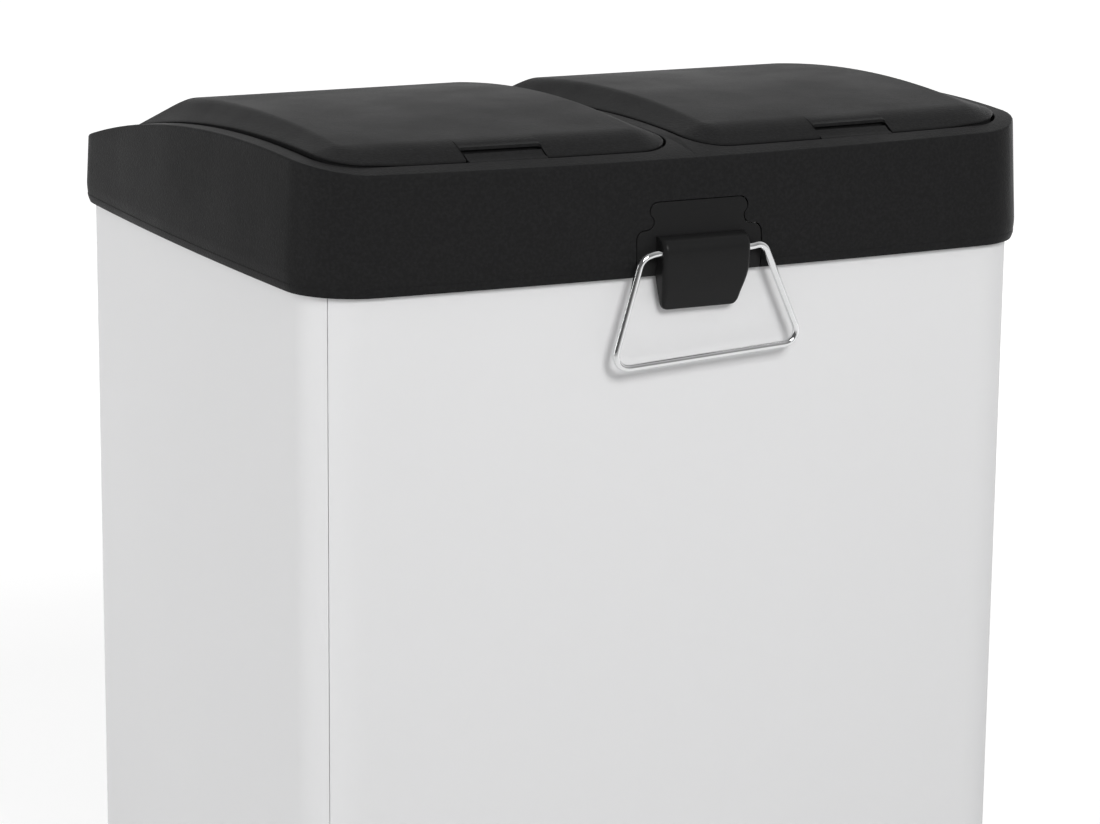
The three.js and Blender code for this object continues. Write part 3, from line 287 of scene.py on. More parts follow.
def finished(bm, name, material, body, sharp=35.0):
    """Turns a bmesh into a piece of the bin that rides on a body."""
    clean(bm)
    bmesh.ops.recalc_face_normals(bm, faces=bm.faces)
    if bm.calc_volume(signed=True) < 0:
        bmesh.ops.reverse_faces(bm, faces=bm.faces)
    for face in bm.faces:
        face.smooth = True
    limit = math.radians(sharp)
    for edge in bm.edges:
        edge.smooth = not (edge.is_manifold and edge.calc_face_angle(0) > limit)
    mesh = bpy.data.meshes.new(name)
    bm.to_mesh(mesh)
    bm.free()
    piece = bpy.data.objects.new(name, mesh)
    bpy.context.scene.collection.objects.link(piece)
    mesh.materials.append(material)
    weighted = piece.modifiers.new("even shading", "WEIGHTED_NORMAL")
    weighted.keep_sharp = True
    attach(piece, body)
    return piece


def mirrored(bm):
    """Adds the left half of a right half whose open edges lie on the middle plane."""
    bmesh.ops.mirror(bm, geom=bm.verts[:] + bm.edges[:] + bm.faces[:], axis="X", merge_dist=MERGE)


def flipped(bm):
    """Turns a right hand piece into a left hand one."""
    bmesh.ops.scale(bm, vec=(-1, 1, 1), verts=bm.verts)
    bmesh.ops.reverse_faces(bm, faces=bm.faces)


def box(bm, low, high, rounding):
    """A box between two corners, its edges rounded."""
    a, b = spot(*low), spot(*high)
    size = b - a
    place = Matrix.Translation((a + b) / 2) @ Matrix.Diagonal((size.x, size.y, size.z, 1))
    made = bmesh.ops.create_cube(bm, size=1, matrix=place)["verts"]
    edges = {e for v in made for e in v.link_edges}
    bmesh.ops.bevel(bm, geom=list(edges), offset=rounding * MM, affect="EDGES", segments=2,
                    profile=0.5, material=-1)


def turned(bm, points, centre, axis, steps, hollow=False):
    """Spins a run of points round an axis; the run of a hollow piece is closed first."""
    verts = [bm.verts.new(p) for p in points]
    edges = [bm.edges.new(pair) for pair in zip(verts, verts[1:])]
    if hollow:
        edges.append(bm.edges.new((verts[-1], verts[0])))
    bmesh.ops.spin(bm, geom=verts + edges, cent=centre, axis=axis, angle=2 * math.pi,
                   steps=steps, use_merge=True)


def eye(bm, x0, x1, y, z, radius):
    """A sleeve along X for a rod or pin, its outer ends eased."""
    edge = 0.4
    profile = [(x0, EYE_HOLE), (x0, radius - edge), (x0 + edge, radius), (x1 - edge, radius),
               (x1, radius - edge), (x1, EYE_HOLE)]
    points = [spot(x, y + r, z) for x, r in profile]
    turned(bm, points, spot(0, y, z), (1, 0, 0), 24, hollow=True)


# ------------------------------------------------------------------ finishes


def nodes_of(name):
    """A new material with its node tree and its shader."""
    material = bpy.data.materials.new(name)
    material.use_nodes = True
    tree = material.node_tree
    return material, tree, tree.nodes["Principled BSDF"]


def noise(tree, scale, detail=2.0, roughness=0.5, stretch=None):
    """A noise on the object's own coordinates."""
    place = tree.nodes.new("ShaderNodeTexCoord")
    texture = tree.nodes.new("ShaderNodeTexNoise")
    texture.inputs["Scale"].default_value = scale
    texture.inputs["Detail"].default_value = detail
    texture.inputs["Roughness"].default_value = roughness
    if stretch:
        mapping = tree.nodes.new("ShaderNodeMapping")
        mapping.inputs["Scale"].default_value = stretch
        tree.links.new(place.outputs["Object"], mapping.inputs["Vector"])
        tree.links.new(mapping.outputs["Vector"], texture.inputs["Vector"])
    else:
        tree.links.new(place.outputs["Object"], texture.inputs["Vector"])
    return texture.outputs["Fac"]


def spread(tree, value, low, high, start=0.3, end=0.7):
    """Maps a texture's value to a range."""
    node = tree.nodes.new("ShaderNodeMapRange")
    node.inputs["From Min"].default_value = start
    node.inputs["From Max"].default_value = end
    node.inputs["To Min"].default_value = low
    node.inputs["To Max"].default_value = high
    tree.links.new(value, node.inputs["Value"])
    return node.outputs["Result"]


def blend_colours(tree, value, first, second):
    """Blends two colours; sockets 0, 6, 7 and 2 are the node's colour mode."""
    node = tree.nodes.new("ShaderNodeMix")
    node.data_type = "RGBA"
    tree.links.new(value, node.inputs[0])
    node.inputs[6].default_value = (*first, 1)
    node.inputs[7].default_value = (*second, 1)
    return node.outputs[2]


def bump(tree, height, strength, distance, below=None):
    """Relief from a texture, over an earlier relief where one is given."""
    node = tree.nodes.new("ShaderNodeBump")
    node.inputs["Strength"].default_value = strength
    node.inputs["Distance"].default_value = distance
    tree.links.new(height, node.inputs["Height"])
    if below is not None:
        tree.links.new(below, node.inputs["Normal"])
    return node.outputs["Normal"]


def moulded_plastic(name, colour, grain, grain_size, rough, gloss, fleck):
    """Black or grey plastic with the fine even grain of a spark-eroded mould."""
    material, tree, shader = nodes_of(name)
    fine = noise(tree, 1 / grain_size, detail=2.0, roughness=0.6)
    patch = noise(tree, 14.0, detail=3.0, roughness=0.55)
    speck = noise(tree, 0.6 / grain_size, detail=2.0)
    lighter = tuple(c * (1 + fleck) for c in colour)
    tint = blend_colours(tree, spread(tree, speck, 0.0, 1.0, 0.4, 0.68), colour, lighter)
    tree.links.new(tint, shader.inputs["Base Color"])
    tree.links.new(spread(tree, patch, rough - 0.04, rough + 0.05), shader.inputs["Roughness"])
    waves = bump(tree, patch, 0.05, 0.0012)
    tree.links.new(bump(tree, fine, grain, 0.0003, waves), shader.inputs["Normal"])
    shader.inputs["Specular IOR Level"].default_value = gloss
    return material


def painted_steel(name, colour):
    """Smooth pale paint with a trace of orange peel."""
    material, tree, shader = nodes_of(name)
    peel = noise(tree, 260.0, detail=2.0)
    drift = noise(tree, 3.0, detail=2.0)
    darker = tuple(c * 0.985 for c in colour)
    tree.links.new(blend_colours(tree, drift, colour, darker), shader.inputs["Base Color"])
    tree.links.new(spread(tree, drift, 0.44, 0.5), shader.inputs["Roughness"])
    tree.links.new(bump(tree, peel, 0.06, 0.0004), shader.inputs["Normal"])
    shader.inputs["Specular IOR Level"].default_value = 0.35
    return material


def bright_wire(name, colour):
    """Plated wire, slightly cloudy."""
    material, tree, shader = nodes_of(name)
    cloud = noise(tree, 60.0, detail=2.0)
    darker = tuple(c * 0.9 for c in colour)
    tree.links.new(blend_colours(tree, cloud, colour, darker), shader.inputs["Base Color"])
    tree.links.new(spread(tree, cloud, 0.05, 0.1), shader.inputs["Roughness"])
    tree.links.new(bump(tree, cloud, 0.05, 0.0002), shader.inputs["Normal"])
    shader.inputs["Metallic"].default_value = 1.0
    return material


def zinc_plate(name, colour):
    """Zinc plated steel, cloudy and slightly brushed."""
    material, tree, shader = nodes_of(name)
    cloud = noise(tree, 120.0, detail=4.0)
    brush = noise(tree, 700.0, detail=2.0, stretch=(0.08, 1.0, 1.0))
    darker = tuple(c * 0.78 for c in colour)
    tree.links.new(blend_colours(tree, cloud, colour, darker), shader.inputs["Base Color"])
    tree.links.new(spread(tree, cloud, 0.28, 0.42), shader.inputs["Roughness"])
    tree.links.new(bump(tree, brush, 0.15, 0.0002), shader.inputs["Normal"])
    shader.inputs["Metallic"].default_value = 1.0
    return material


def soft_rubber(name, colour):
    """Matte rubber with a dusty bloom."""
    material, tree, shader = nodes_of(name)
    bloom = noise(tree, 90.0, detail=4.0)
    grain = noise(tree, 1500.0, detail=2.0)
    dusty = tuple(c * 1.8 + 0.004 for c in colour)
    tint = blend_colours(tree, spread(tree, bloom, 0, 1), colour, dusty)
    tree.links.new(tint, shader.inputs["Base Color"])
    tree.links.new(spread(tree, bloom, 0.78, 0.92), shader.inputs["Roughness"])
    tree.links.new(bump(tree, grain, 0.3, 0.0002), shader.inputs["Normal"])
    return material


FINISH = {}


def make_finishes(colours):
    """Makes each finish once, for the pieces that share it."""
    FINISH["lid"] = moulded_plastic("grained black plastic", colours.lid, grain=0.9,
                                    grain_size=0.0013, rough=0.44, gloss=0.024, fleck=0.25)
    FINISH["handle"] = moulded_plastic("smooth black plastic", colours.handle, grain=0.12,
                                       grain_size=0.0006, rough=0.33, gloss=0.1, fleck=0.08)
    FINISH["bucket"] = moulded_plastic("bucket plastic", colours.bucket, grain=0.15,
                                       grain_size=0.0008, rough=0.45, gloss=0.3, fleck=0.15)
    FINISH["paint"] = painted_steel("pale paint", colours.paint)
    FINISH["wire"] = bright_wire("bright wire", colours.wire)
    FINISH["zinc"] = zinc_plate("zinc plate", colours.zinc)
    FINISH["rubber"] = soft_rubber("foot rubber", colours.rubber)


# ------------------------------------------------------------------ lid frame


INSET_STEP = 10


def moved_in(base, moved, inset):
    """The frame's plan moved in by an inset, a number or a function of y behind the bow."""
    plan = []
    for (ax, ay), (bx, by) in zip(base, moved):
        amount = inset(bowed(ax, ay)[1]) if callable(inset) else inset
        plan.append((ax + (bx - ax) * amount / INSET_STEP, ay + (by - ay) * amount / INSET_STEP))
    return plan


def offset_rings(base, moved, profile):
    """Rings of the frame's plan, one for each (inset, height) of a profile."""
    return [settle(moved_in(base, moved, inset), height) for inset, height in profile]


def drafted(height):
    """Inset of the outer wall at a height."""
    return max(0.0, height - EDGE_HEIGHT) * DRAFT


# (inset, height) of the tucked lower lip, with the parting line as a step of 0.24 in it
LIP = [
    (3.2, 0.35), (2.5, 0.0), (1.95, 0.2), (1.6, 0.9), (1.0, 2.4), (0.5, 4.2), (0.3, 5.5),
    (0.32, 5.7), (0.56, 5.85), (0.3, 8.0), (0.08, 11.0), (0.0, 13.5),
]
LIP_TOP = 13.5
TROUGH_WALL = 2.4


def frame_rings(sizes):
    """Every ring of the right half of the lid frame, from its lip over the deck and back inside."""
    fillet = sizes.edge_round / MM
    ease = sizes.recess_round / MM
    base, moved = half_plan(0), half_plan(INSET_STEP)
    rings = offset_rings(base, moved, LIP)
    wall_top = lambda y: frame_top(y) - fillet
    for share in (0.33, 0.67, 1.0):
        height = lambda y, s=share: LIP_TOP + (wall_top(y) - LIP_TOP) * s
        rings += offset_rings(base, moved, [(lambda y, h=height: drafted(h(y)), height)])
    for step in range(1, 7):
        turn = math.radians(90 * step / 6)
        back = fillet * (1 - math.cos(turn))
        drop = fillet * (1 - math.sin(turn))
        inset = lambda y, b=back: drafted(wall_top(y)) + b
        rings += offset_rings(base, moved, [(inset, lambda y, d=drop: frame_top(y) - d)])

    edge_plan = moved_in(base, moved, lambda y: drafted(wall_top(y)) + fillet)
    front_radius, back_radius = FLAP_FRONT_RADIUS + GAP, 1.5
    recess = lambda by: outline(
        FLAP_IN - GAP - by, FLAP_OUT + GAP + by, FLAP_FRONT - GAP - by, AXIS_Y + TROUGH + by,
        (front_radius + by, back_radius + by, back_radius + by, front_radius + by))
    rim = recess(ease)
    for share in (0.15, 0.3, 0.45, 0.6, 0.75, 0.9, 1.0):
        rings.append(settle(toward(edge_plan, rim, share), frame_top))
    for step in (1, 2, 3):
        turn = math.radians(30 * step)
        drop = ease * (1 - math.cos(turn))
        plan = recess(ease * (1 - math.sin(turn)))
        rings.append(settle(plan, lambda y, d=drop: frame_top(y) - d))

    ledge = lambda y: frame_top(y) - LEDGE_DROP
    trough_floor = AXIS_Z - TROUGH
    trough_start = AXIS_Y - TROUGH
    recess_floor = lambda y: trough_floor if y > trough_start - 0.05 else ledge(y)
    rings.append(settle(recess(0), recess_floor))
    inner = outline(FLAP_IN - GAP + 2, FLAP_OUT + GAP - 2, FLAP_FRONT - GAP + 3, trough_start,
                    (FLAP_FRONT_RADIUS - 1, 1, 1, FLAP_FRONT_RADIUS - 1))
    low = [p[1] > trough_start - 3.2 for p in inner]
    floor = settle(inner, ledge)
    sunk = (trough_floor + RISE) * MM
    rings.append([Vector((p.x, p.y, sunk)) if deep else p for p, deep in zip(floor, low)])
    rings.append(floor)
    opening = outline(FLAP_IN - GAP + LEDGE, FLAP_OUT + GAP - LEDGE, FLAP_FRONT - GAP + LEDGE + 2,
                      trough_start - TROUGH_WALL,
                      (FLAP_FRONT_RADIUS - LEDGE, 4, 4, FLAP_FRONT_RADIUS - LEDGE))
    opened = toward(opening, inner, 0.12)
    rings.append(settle(opened, ledge))
    rings.append(settle(opening, lambda y: ledge(y) - 0.5))
    low_side = trough_floor - TROUGH_WALL
    under_floor = lambda y: low_side if y > trough_start - 8 else ledge(y) - DECK
    rings.append(settle(opening, under_floor))
    tray = outline(FLAP_IN - GAP - TROUGH_WALL, FLAP_OUT + GAP + TROUGH_WALL,
                   FLAP_FRONT - GAP - TROUGH_WALL, AXIS_Y + TROUGH + TROUGH_WALL,
                   (FLAP_FRONT_RADIUS + 4, 2, 2, FLAP_FRONT_RADIUS + 4))
    tray_low = lambda y: low_side if y > trough_start - 3 else ledge(y) - DECK
    rings.append(settle(tray, tray_low))
    ceiling = lambda y: frame_top(y) - DECK
    rings.append(settle(tray, ceiling))
    inner_edge = moved_in(base, moved, lambda y: drafted(ceiling(y)) + WALL)
    for share in (0.33, 0.67, 1.0):
        rings.append(settle(toward(tray, inner_edge, share), ceiling))
    for share in (0.5, 0.0):
        height = lambda y, s=share: EDGE_HEIGHT + (ceiling(y) - EDGE_HEIGHT) * s
        rings += offset_rings(base, moved, [(lambda y, h=height: drafted(h(y)) + WALL, height)])
    rings += offset_rings(base, moved, [(WALL + 0.25, 5.2), (WALL + 0.72, 1.2)])
    return rings


def key_outline(grown):
    """The keyed plate's outline as (x, z) pairs, anticlockwise from its lower right corner."""
    half, neck, ear = 44.5 + grown, 32.0 + grown, 34.8 + grown
    shoulder, waist, top = 29.3 + grown, 34.9, 46.7 + grown
    foot, radius, steps = 0.2, 6.0, 7

    def curve(*corners):
        return bezier(*corners, steps)[:-1]

    right = run((half, foot), (half, shoulder - radius), evenly(5))
    right += arc(half - radius, shoulder - radius, radius, 0, 90, steps)
    right += curve((half - radius, shoulder), (neck + 3, shoulder), (neck, shoulder + 1.5),
                   (neck, waist))
    right += curve((neck, waist), (neck, waist + 3), (ear, waist + 3), (ear, top - radius))
    right += arc(ear - radius, top - radius, radius, 0, 90, steps)
    right.append((ear - radius, top))
    left = [(-x, z) for x, z in reversed(right)]
    over = run((ear - radius, top), (-ear + radius, top), evenly(8))[1:]
    under = run((-half, foot), (half, foot), evenly(10))[1:]
    return right + over + left + under


def wall_face(x, z):
    """Where the outer face of the front wall is, at a place across and a height."""
    tuck = 1.6 * max(0.0, 1 - z / EDGE_HEIGHT) ** 2
    return bowed(x, FRONT + drafted(z) + tuck)[1]


KEY_GAP = 0.55


def cut_key(piece):
    """Cuts the plate's keyed opening through the front wall and its lower edge."""
    bm = bmesh.new()
    shape = [p if p[1] > 1 else (p[0], -3.0) for p in key_outline(KEY_GAP)]
    before, behind = FACE - 10, FACE + 9
    skin(bm, [[spot(x, y, z) for x, z in shape] for y in (before, behind)], capped=True)
    bmesh.ops.recalc_face_normals(bm, faces=bm.faces)
    mesh = bpy.data.meshes.new("key cutter")
    bm.to_mesh(mesh)
    bm.free()
    cutter = bpy.data.objects.new("key_cutter", mesh)
    bpy.context.scene.collection.objects.link(cutter)
    knife = piece.modifiers.new("keyed opening", "BOOLEAN")
    knife.operation = "DIFFERENCE"
    knife.solver = "EXACT"
    knife.object = cutter
    piece.modifiers.move(len(piece.modifiers) - 1, 0)
    settled(piece)
    bpy.data.objects.remove(cutter)


def settled(piece):
    """Makes a piece's modifiers part of its mesh, all but the shading one."""
    shade = piece.modifiers["even shading"]
    shade.show_viewport = False
    depsgraph = bpy.context.evaluated_depsgraph_get()
    mesh = bpy.data.meshes.new_from_object(piece.evaluated_get(depsgraph))
    old = piece.data
    for modifier in [m for m in piece.modifiers if m != shade]:
        piece.modifiers.remove(modifier)
    piece.data = mesh
    bpy.data.meshes.remove(old)
    shade.show_viewport = True


def add_lugs(bm):
    """Posts with eyes that hold the flap rods in the trough."""
    for side in (-1, 1):
        for reach in (-LUG_REACH, LUG_REACH):
            middle = side * FLAP_MIDDLE + reach
            x0, x1 = middle - 6, middle + 6
            eye(bm, x0, x1, AXIS_Y, AXIS_Z, ROD_EYE)
            box(bm, (x0 + 0.2, AXIS_Y - 3.9, AXIS_Z - TROUGH - 0.5),
                (x1 - 0.2, AXIS_Y + 3.9, AXIS_Z - 2.6), 0.3)


def add_hinge_lugs(bm):
    """Lugs under the rear edge that turn on the hinge pins."""
    fit, bracket, clearance = 0.3, 1.5, 0.4
    y = REAR - BODY_STEP + fit + bracket + clearance + PIN_EYE
    for side in (-1, 1):
        x = side * HINGE_REACH
        eye(bm, x - 10, x + 10, y, -9.5, PIN_EYE)
        box(bm, (x - 9.8, y - 4.1, -6.6), (x + 9.8, REAR - 1.4, 6), 0.5)


def add_frame_ribs(bm):
    """Stiffening ribs under the deck, 1.6 thick."""
    low, eased = 36.6, 0.2
    for y in (FRONT + 135, FRONT + 275):
        for side in (-1, 1):
            x0, x1 = side * (FLAP_OUT + GAP + 2), side * (bowed(WIDTH / 2, y)[0] - WALL - 3.2)
            box(bm, (min(x0, x1), y, low), (max(x0, x1), y + 1.6, frame_top(y) - 2.0), eased)
    for x in (-HINGE_REACH, HINGE_REACH):
        box(bm, (x - 0.8, FACE + WALL + 4, low), (x + 0.8, FLAP_FRONT - GAP - 1.5, 70.0), eased)
        box(bm, (x - 0.8, AXIS_Y + TROUGH + 1.5, low), (x + 0.8, REAR - WALL - 1.6, 38.4), eased)


# (reach across the line, how proud of the wall) of the raised line's section
WITNESS_SECTION = ((-0.45, -0.3), (0.45, -0.3), (0.45, 0.0), (0.15, 0.14), (-0.15, 0.14), (-0.45, 0.0))


def add_witness_line(bm):
    """Faint raised line where the bracket's flange shows through the front wall."""
    across, low, top, corner = 49.5, 7.0, 59.0, 1.5
    path = run((across, low), (across, top - corner), evenly(12))
    path += arc(across - corner, top - corner, corner, 0, 90, 4)
    path += run((across - corner, top), (-across + corner, top), evenly(20))
    path += arc(-across + corner, top - corner, corner, 90, 180, 4)
    path += run((-across, top - corner), (-across, low), evenly(12) + [1.0])
    rings = []
    for i, (x, z) in enumerate(path):
        before, after = Vector(path[max(i - 1, 0)]), Vector(path[min(i + 1, len(path) - 1)])
        along = (after - before).normalized()
        side = Vector((along.y, -along.x))
        ring = []
        for reach, proud in WITNESS_SECTION:
            px, pz = x + side.x * reach, z + side.y * reach
            ring.append(spot(px, wall_face(px, pz) - proud, pz))
        rings.append(ring)
    skin(bm, rings, capped=True)


def make_lid_frame(sizes):
    """The moulded frame, and its lugs and ribs as a second piece."""
    bm = bmesh.new()
    skin(bm, frame_rings(sizes), loop=True)
    clean(bm)
    middle = [f for f in bm.faces if all(abs(v.co.x) < MERGE for v in f.verts)]
    bmesh.ops.delete(bm, geom=middle, context="FACES")
    mirrored(bm)
    clean(bm)
    piece = finished(bm, "lid_frame_moulding", FINISH["lid"], "frame")
    cut_key(piece)
    details = bmesh.new()
    add_lugs(details)
    add_hinge_lugs(details)
    add_frame_ribs(details)
    add_witness_line(details)
    finished(details, "lid_frame_lugs", FINISH["lid"], "frame")
    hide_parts("lid_frame")


# ------------------------------------------------------------------ flaps

# points along a flap's outline, first those of its front edge with the finger notch
FRONT_RUN, LIP_ARC, NOTCH_SIDE, NOTCH_ARC, NOTCH_RUN = 9, 4, 4, 5, 10
SIDE_COUNT = 26
BACK_COUNT = 18
NOTCH_START = FRONT_RUN + LIP_ARC + NOTCH_SIDE
NOTCH_BACK = range(NOTCH_START, NOTCH_START + 2 * NOTCH_ARC + NOTCH_RUN)
FRONT_COUNT = 2 * NOTCH_START + 2 * NOTCH_ARC + NOTCH_RUN
CORNER_END = FRONT_COUNT + CORNER_STEPS


def round_the_back(left, right, front, back, front_radius, back_radius):
    """The rest of a flap's outline, from its front right corner round to its front left one."""
    points = arc(right - front_radius, front + front_radius, front_radius, -90, 0, CORNER_STEPS)
    points += run((right, front + front_radius), (right, back - back_radius), evenly(SIDE_COUNT))
    points += arc(right - back_radius, back - back_radius, back_radius, 0, 90, CORNER_STEPS)
    points += run((right - back_radius, back), (left + back_radius, back), evenly(BACK_COUNT))
    points += arc(left + back_radius, back - back_radius, back_radius, 90, 180, CORNER_STEPS)
    points += run((left, back - back_radius), (left, front + front_radius), evenly(SIDE_COUNT))
    points += arc(left + front_radius, front + front_radius, front_radius, 180, 270, CORNER_STEPS)
    return points


def flap_edge(inset):
    """The flap's outline with its finger notch, moved in by an inset."""
    left, right = FLAP_IN + inset, FLAP_OUT - inset
    front, back = FLAP_FRONT + inset, FLAP_BACK - inset
    front_radius, back_radius = FLAP_FRONT_RADIUS - inset, FLAP_BACK_RADIUS - inset
    half = NOTCH / 2 + inset
    outer, inner = max(1.0 - inset, 0.02), 1.6 + inset
    x0, x1, deep = FLAP_MIDDLE - half, FLAP_MIDDLE + half, FLAP_FRONT + NOTCH_DEPTH + inset
    points = run((left + front_radius, front), (x0 - outer, front), evenly(FRONT_RUN))
    points += arc(x0 - outer, front + outer, outer, -90, 0, LIP_ARC)
    points += run((x0, front + outer), (x0, deep - inner), evenly(NOTCH_SIDE))
    points += arc(x0 + inner, deep - inner, inner, 180, 90, NOTCH_ARC)
    points += run((x0 + inner, deep), (x1 - inner, deep), evenly(NOTCH_RUN))
    points += arc(x1 - inner, deep - inner, inner, 90, 0, NOTCH_ARC)
    points += run((x1, deep - inner), (x1, front + outer), evenly(NOTCH_SIDE))
    points += arc(x1 + outer, front + outer, outer, 180, 270, LIP_ARC)
    points += run((x1 + outer, front), (right - front_radius, front), evenly(FRONT_RUN))
    return points + round_the_back(left, right, front, back, front_radius, back_radius)


def crease_edge(edge, inset):
    """The ridge's outline, one point for each point of the flap's outline."""
    left, right = FLAP_IN + CHAMFER + inset, FLAP_OUT - CHAMFER - inset
    front, back = FLAP_FRONT + CHAMFER + inset, FLAP_BACK - RAMP - inset
    radius = CREASE_RADIUS - inset
    start, end = FLAP_IN + FLAP_FRONT_RADIUS, FLAP_OUT - FLAP_FRONT_RADIUS
    points = []
    for x, _ in edge[:FRONT_COUNT]:
        share = min(max((x - start) / (end - start), 0.0), 1.0)
        points.append((left + radius + (right - left - 2 * radius) * share, front))
    return points + round_the_back(left, right, front, back, radius, radius)


def rise(index, x):
    """How far the flap's edge stands over the frame: most at the outer front corner."""
    front_end = FLAP_OUT - FLAP_FRONT_RADIUS
    if index < FRONT_COUNT:
        return 0.2 + 1.2 * max(0.0, 1 - (front_end - x) / 22)
    if index < CORNER_END:
        return 1.4 + 1.2 * (index - FRONT_COUNT) / CORNER_STEPS
    if index < CORNER_END + SIDE_COUNT:
        return 0.6 + 2.0 * (1 - (index - CORNER_END) / SIDE_COUNT)
    return 0.4


def edge_heights(edge):
    """Height of the face along the flap's outline: the notch lies part way up the front face."""
    heights = []
    for i, (x, y) in enumerate(edge):
        height = frame_top(bowed(x, y)[1]) + rise(i, x)
        if i < FRONT_COUNT:
            front = bowed(x, FLAP_FRONT)[1]
            ridge = flap_top(bowed(x, FLAP_FRONT + CHAMFER)[1])
            depth = min(max((y - FLAP_FRONT) / CHAMFER, 0.0), 1.0)
            low = frame_top(front) + rise(i, x)
            height = low + (ridge - low) * depth
        heights.append(height)
    return heights


SOFT_FRONT, SOFT_HIP, SOFT_SIDE = 7.5, 5.2, 2.2


def softness(index):
    """How far the ridge is rounded off: wide at the front and the rear hips, tight along the sides."""
    if index < FRONT_COUNT:
        return SOFT_FRONT
    index -= FRONT_COUNT
    if index < CORNER_STEPS:
        return SOFT_FRONT - (SOFT_FRONT - SOFT_SIDE) * index / CORNER_STEPS
    index -= CORNER_STEPS
    if index < SIDE_COUNT:
        return SOFT_SIDE + (SOFT_HIP - SOFT_SIDE) * (index / SIDE_COUNT) ** 3
    index -= SIDE_COUNT
    if index < 2 * CORNER_STEPS + BACK_COUNT:
        return SOFT_HIP
    index -= 2 * CORNER_STEPS + BACK_COUNT
    if index < SIDE_COUNT:
        return SOFT_SIDE + (SOFT_HIP - SOFT_SIDE) * (1 - index / SIDE_COUNT) ** 3
    return SOFT_SIDE + (SOFT_FRONT - SOFT_SIDE) * (index - SIDE_COUNT) / CORNER_STEPS


def undercut(near, far):
    """The flap's outline moved in, and further along the back of the finger notch."""
    close, deep = flap_edge(near), flap_edge(far)
    return [deep[i] if i in NOTCH_BACK else p for i, p in enumerate(close)]


def at_heights(plan, heights):
    """Plan points with the bow, each at its own height."""
    return [spot(*bowed(x, y), z) for (x, y), z in zip(plan, heights)]


def mixed(first, second, share):
    """A ring part of the way from one ring to another."""
    return [a.lerp(b, share) for a, b in zip(first, second)]


def dome(ridge, lowered, shares):
    """Rings from a ridge's plan to a seam along the middle of the flap's top."""
    middle_y = sum(p[1] for p in ridge) / len(ridge)
    rings = []
    for share in shares:
        plan = [(x + (FLAP_MIDDLE - x) * share, y + (middle_y - y) * 0.35 * share)
                for x, y in ridge]
        rings.append(settle(plan, lambda y: flap_top(y) - lowered))
    return rings


def flap_rings(sizes):
    """Rings of a flap, from the seam inside its top down to its skirt and up over its face."""
    wall = FLAP_WALL
    edge = flap_edge(0)
    under, inner = undercut(1.3, 3.2), undercut(wall + 0.8, wall + 3.0)
    high = edge_heights(edge)
    skirt = [frame_top(bowed(x, y)[1]) - LEDGE_DROP + 0.45 for x, y in edge]
    crease = crease_edge(edge, 0)
    inner_crease = crease_edge(edge, 1.0)
    within = crease_edge(edge, 6.0)
    ridge = settle(crease, flap_top)

    rings = dome(within, wall + 0.2, (1.0, 0.6, 0.25, 0.0))
    rings.append(settle(inner_crease, lambda y: flap_top(y) - wall - 0.4))
    rings.append(at_heights(inner, [h - wall * 0.9 for h in high]))
    rings.append(at_heights(inner, [min(s + 0.4, h - wall) for s, h in zip(skirt, high)]))
    rings.append(at_heights(toward(inner, under, 0.2), skirt))
    rings.append(at_heights(toward(inner, under, 0.85), skirt))
    rings.append(at_heights(under, [s + 0.3 for s in skirt]))
    rings.append(at_heights(under, [h - 1.25 for h in high]))
    rings.append(at_heights(toward(edge, under, 0.3), [h - 1.1 for h in high]))
    rings.append(at_heights(edge, [h - 0.85 for h in high]))
    rings.append(at_heights(edge, [h - 0.35 for h in high]))
    face = at_heights(edge, high)
    lip = [0.0] * len(edge)
    for i in NOTCH_BACK:
        lip[i] = sizes.notch_lip
    for share in (0.03, 0.12, 0.25, 0.4, 0.52):
        ring = mixed(face, ridge, share)
        lift = [h * max(0.0, 1 - share / 0.55) ** 1.2 for h in lip]
        rings.append([p + Vector((0, 0, h)) for p, h in zip(ring, lift)])
    soft = [softness(i) * sizes.ridge_round / MM for i in range(len(edge))]
    before = [r.lerp(f, min(k / CHAMFER, 0.45)) for r, f, k in zip(ridge, face, soft)]
    inmost = crease_edge(edge, CREASE_RADIUS - 0.2)
    after_plan = [(ax + (bx - ax) * k / CREASE_RADIUS, ay + (by - ay) * k / CREASE_RADIUS)
                  for (ax, ay), (bx, by), k in zip(crease, inmost, soft)]
    after = settle(after_plan, flap_top)
    for t in (0.0, 0.2, 0.4, 0.6, 0.8, 1.0):
        a, b, c = (1 - t) ** 2, 2 * t * (1 - t), t * t
        rings.append([p * a + q * b + r * c for p, q, r in zip(before, ridge, after)])
    rings += dome(after_plan, 0.0, (0.08, 0.2, 0.4, 0.65, 1.0))
    return rings


def add_knuckles(bm):
    """Barrels behind the flap that turn on its rod, with the webs that carry them."""
    near, far, room = FLAP_MIDDLE - LUG_REACH, FLAP_MIDDLE + LUG_REACH, 6.5
    spans = ((FLAP_IN + 15, near - room), (near + room, far - room), (far + room, FLAP_OUT - 15))
    for x0, x1 in spans:
        eye(bm, x0, x1, AXIS_Y, AXIS_Z, ROD_EYE)
        box(bm, (x0 + 0.2, FLAP_BACK - 1.6, AXIS_Z + 0.7),
            (x1 - 0.2, AXIS_Y - 2.2, AXIS_Z + 3.6), 0.25)


